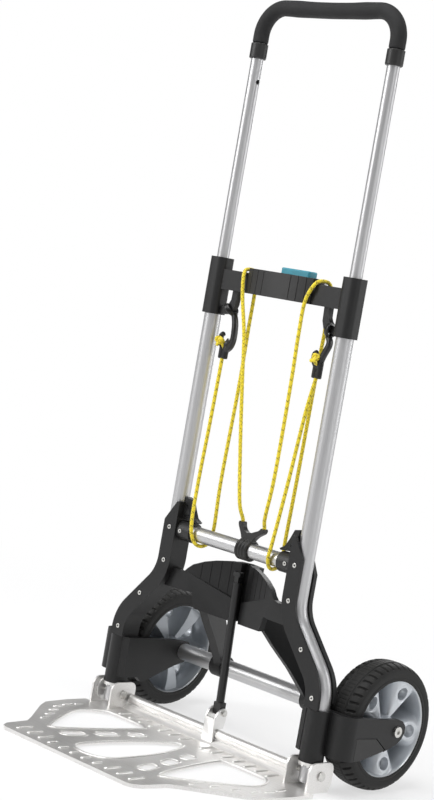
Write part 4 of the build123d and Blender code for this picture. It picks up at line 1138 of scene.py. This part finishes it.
# the horns seen from the front: x, z
HORNS = [
    (8, HORN_FOOT), (4.5, 310), (0.5, 316), (-2.6, 321.5), (-3.0, 325.4), (-1.2, 327.2),
    (1.2, 325.6), (3.8, 327.2), (5.6, 325.2), (6.0, 321), (9.0, 316.6), (14, 313.2),
    (19, 312.8), (24, 314.2), (31, 317.4), (36.5, 319.6), (39.6, 322.4), (41.3, 324.9),
    (43.6, 323.4), (46.0, 324.9), (47.6, 322.2), (46.4, 317.6), (41.4, 314.6),
    (35.4, 311.0), (30.4, 305.8), (27, HORN_FOOT),
]


def clip_barrel():
    """sleeve round the cross tube with four rounded ribs"""
    profile = []
    for x in np.linspace(CLIP_LEFT, CLIP_RIGHT, 170):
        share = (x - CLIP_LEFT) / (CLIP_RIGHT - CLIP_LEFT)
        rib = abs(math.sin(math.pi * 4 * share)) ** 0.7
        profile.append((x, CLIP_BORE + 1.5 + 2.6 * rib))
    profile += [(x, CLIP_BORE) for x in np.linspace(CLIP_RIGHT, CLIP_LEFT, 30)]
    steps = 160
    points = []
    for k in range(steps):
        angle = 2 * math.pi * k / steps
        points += [(x, radius * math.cos(angle), CLIP_Z + radius * math.sin(angle))
                   for x, radius in profile]
    faces = grid_faces(steps, len(profile), closed=True)
    return tidy(new_mesh("part", points, faces, MAT["black_fine"]))


def clip_horns():
    outline = corner_cut(HORNS)
    count = len(outline)
    points = [(x, y, z) for y in (-HORN_HALF_DEPTH, HORN_HALF_DEPTH) for x, z in outline]
    faces = [tuple(range(count)), tuple(range(count, 2 * count))[::-1]]
    for k in range(count):
        after = (k + 1) % count
        faces.append((k, k + count, after + count, after))
    return tidy(new_mesh("part", points, faces, MAT["black_fine"]))


def clip():
    """ribbed clamp round the cross tube, with two horns that hold the cord ends"""
    ob = fuse([clip_barrel(), clip_horns()], "cord_clip_horns", voxel=0.45)
    put(ob, "frame", "black_plastic", "cord_clip")


clip()


# ============================================================ stage, light, camera
def floor_material():
    """pale floor that fades into plain white away from the truck"""
    material = bpy.data.materials.new("studio_floor")
    tree = empty_tree(material)
    output = add_node(tree, "OutputMaterial")
    diffuse = add_node(tree, "BsdfDiffuse", {"Color": (0.93, 0.93, 0.935)})
    glow = add_node(tree, "Emission", {"Color": (1, 1, 1), "Strength": 1.0})
    position = add_node(tree, "TexCoord").outputs["Object"]
    distance = add_node(tree, "VectorMath", {0: position}, operation="LENGTH")
    # share of white by distance from the origin in metres
    fade = add_node(tree, "MapRange", {"From Min": 0.55, "From Max": 1.6, "To Min": 0.62,
                                       "Value": distance.outputs["Value"]},
                    interpolation_type="SMOOTHSTEP")
    mixed = add_node(tree, "MixShader", {0: fade.outputs[0], 1: diffuse.outputs[0],
                                         2: glow.outputs[0]})
    feed(tree, output.inputs[0], mixed.outputs[0])
    return material


def studio_floor():
    around = 96
    radii = (0.5, 1.0, 2.0, 4.0, 9.0, 30.0)
    points = [(0, 0, 0)]
    for radius in radii:
        for i in range(around):
            angle = 2 * math.pi * i / around
            points.append((radius * math.cos(angle), radius * math.sin(angle), 0))
    faces = []
    for i in range(around):
        after = (i + 1) % around
        faces.append((0, 1 + i, 1 + after))
        for k in range(len(radii) - 1):
            row = 1 + k * around
            faces.append((row + i, row + around + i, row + around + after, row + after))
    material = floor_material()
    mesh = bpy.data.meshes.new("studio_floor")
    mesh.from_pydata(points, [], faces)
    mesh.materials.append(material)
    floor = bpy.data.objects.new("studio_floor", mesh)
    scene.collection.objects.link(floor)
    floor.location = (0, 0, -0.0003)       # just below the truck


def studio_world():
    """soft grey surroundings, seen by the camera as plain white"""
    world = bpy.data.worlds.new("studio")
    tree = empty_tree(world)
    scene.world = world
    output = add_node(tree, "OutputWorld")
    height = add_node(tree, "SeparateXYZ", {0: add_node(tree, "TexCoord").outputs["Generated"]})
    share = add_node(tree, "MapRange", {"From Min": -1, "From Max": 1,
                                        "Value": height.outputs[2]})
    # grey from straight down (0) to straight up (1)
    sky = color_ramp(tree, share.outputs[0], [(0.30, (0.42, 0.42, 0.43)),
                                              (0.52, (0.30, 0.30, 0.31)),
                                              (1.0, (0.85, 0.86, 0.88))])
    lighting = add_node(tree, "Background", {"Color": sky, "Strength": 0.24})
    backdrop = add_node(tree, "Background", {"Color": (1, 1, 1), "Strength": 1.0})
    seen = add_node(tree, "LightPath").outputs["Is Camera Ray"]
    mixed = add_node(tree, "MixShader", {0: seen, 1: lighting.outputs[0],
                                         2: backdrop.outputs[0]})
    feed(tree, output.inputs[0], mixed.outputs[0])


# name, place, width and height in metres, power in watts
LIGHTS = (
    ("soft_left", (-1.7, -2.2, 1.9), (1.0, 2.2), 50),
    ("soft_right", (2.9, -0.3, 1.5), (0.7, 2.2), 11),
    ("soft_top", (0.2, -0.9, 3.0), (2.0, 2.0), 62),
    ("rim_back", (-1.3, 2.6, 1.5), (1.1, 2.2), 34),
    ("rim_back_right", (1.9, 2.2, 1.3), (0.7, 2.2), 20),
)
LIGHT_TARGET = (0, 0, 0.5)


def area_light(name, place, size, power):
    data = bpy.data.lights.new(name, "AREA")
    data.shape = "RECTANGLE"
    data.size, data.size_y = size
    data.energy = power
    light = bpy.data.objects.new(name, data)
    scene.collection.objects.link(light)
    light.location = place
    light.rotation_mode = "QUATERNION"
    aim = Vector(LIGHT_TARGET) - Vector(place)
    light.rotation_quaternion = aim.to_track_quat("-Z", "Y")
    light.visible_camera = False


def studio_camera():
    """view from the front right, a little above the middle of the truck"""
    data = bpy.data.cameras.new("camera")
    data.sensor_fit = "AUTO"
    data.sensor_width = 24.0
    data.lens = 56.39
    data.clip_start, data.clip_end = 0.05, 80
    camera = bpy.data.objects.new("camera", data)
    scene.collection.objects.link(camera)
    right = Vector((0.69467327, 0.69858416, 0.17149118))
    up = Vector((-0.16382921, -0.07848738, 0.98336144))
    backward = Vector((0.70042062, -0.71121017, 0.05992541))
    turn = Matrix((right, up, backward)).transposed().to_4x4()
    camera.matrix_world = Matrix.Translation((1.80154, -1.9216 + BACK, 0.64656)) @ turn
    scene.camera = camera


studio_floor()
studio_world()
for light in LIGHTS:
    area_light(*light)
studio_camera()
scene.view_settings.view_transform = "Standard"
scene.view_settings.look = "None"
scene.view_settings.exposure = 0.0
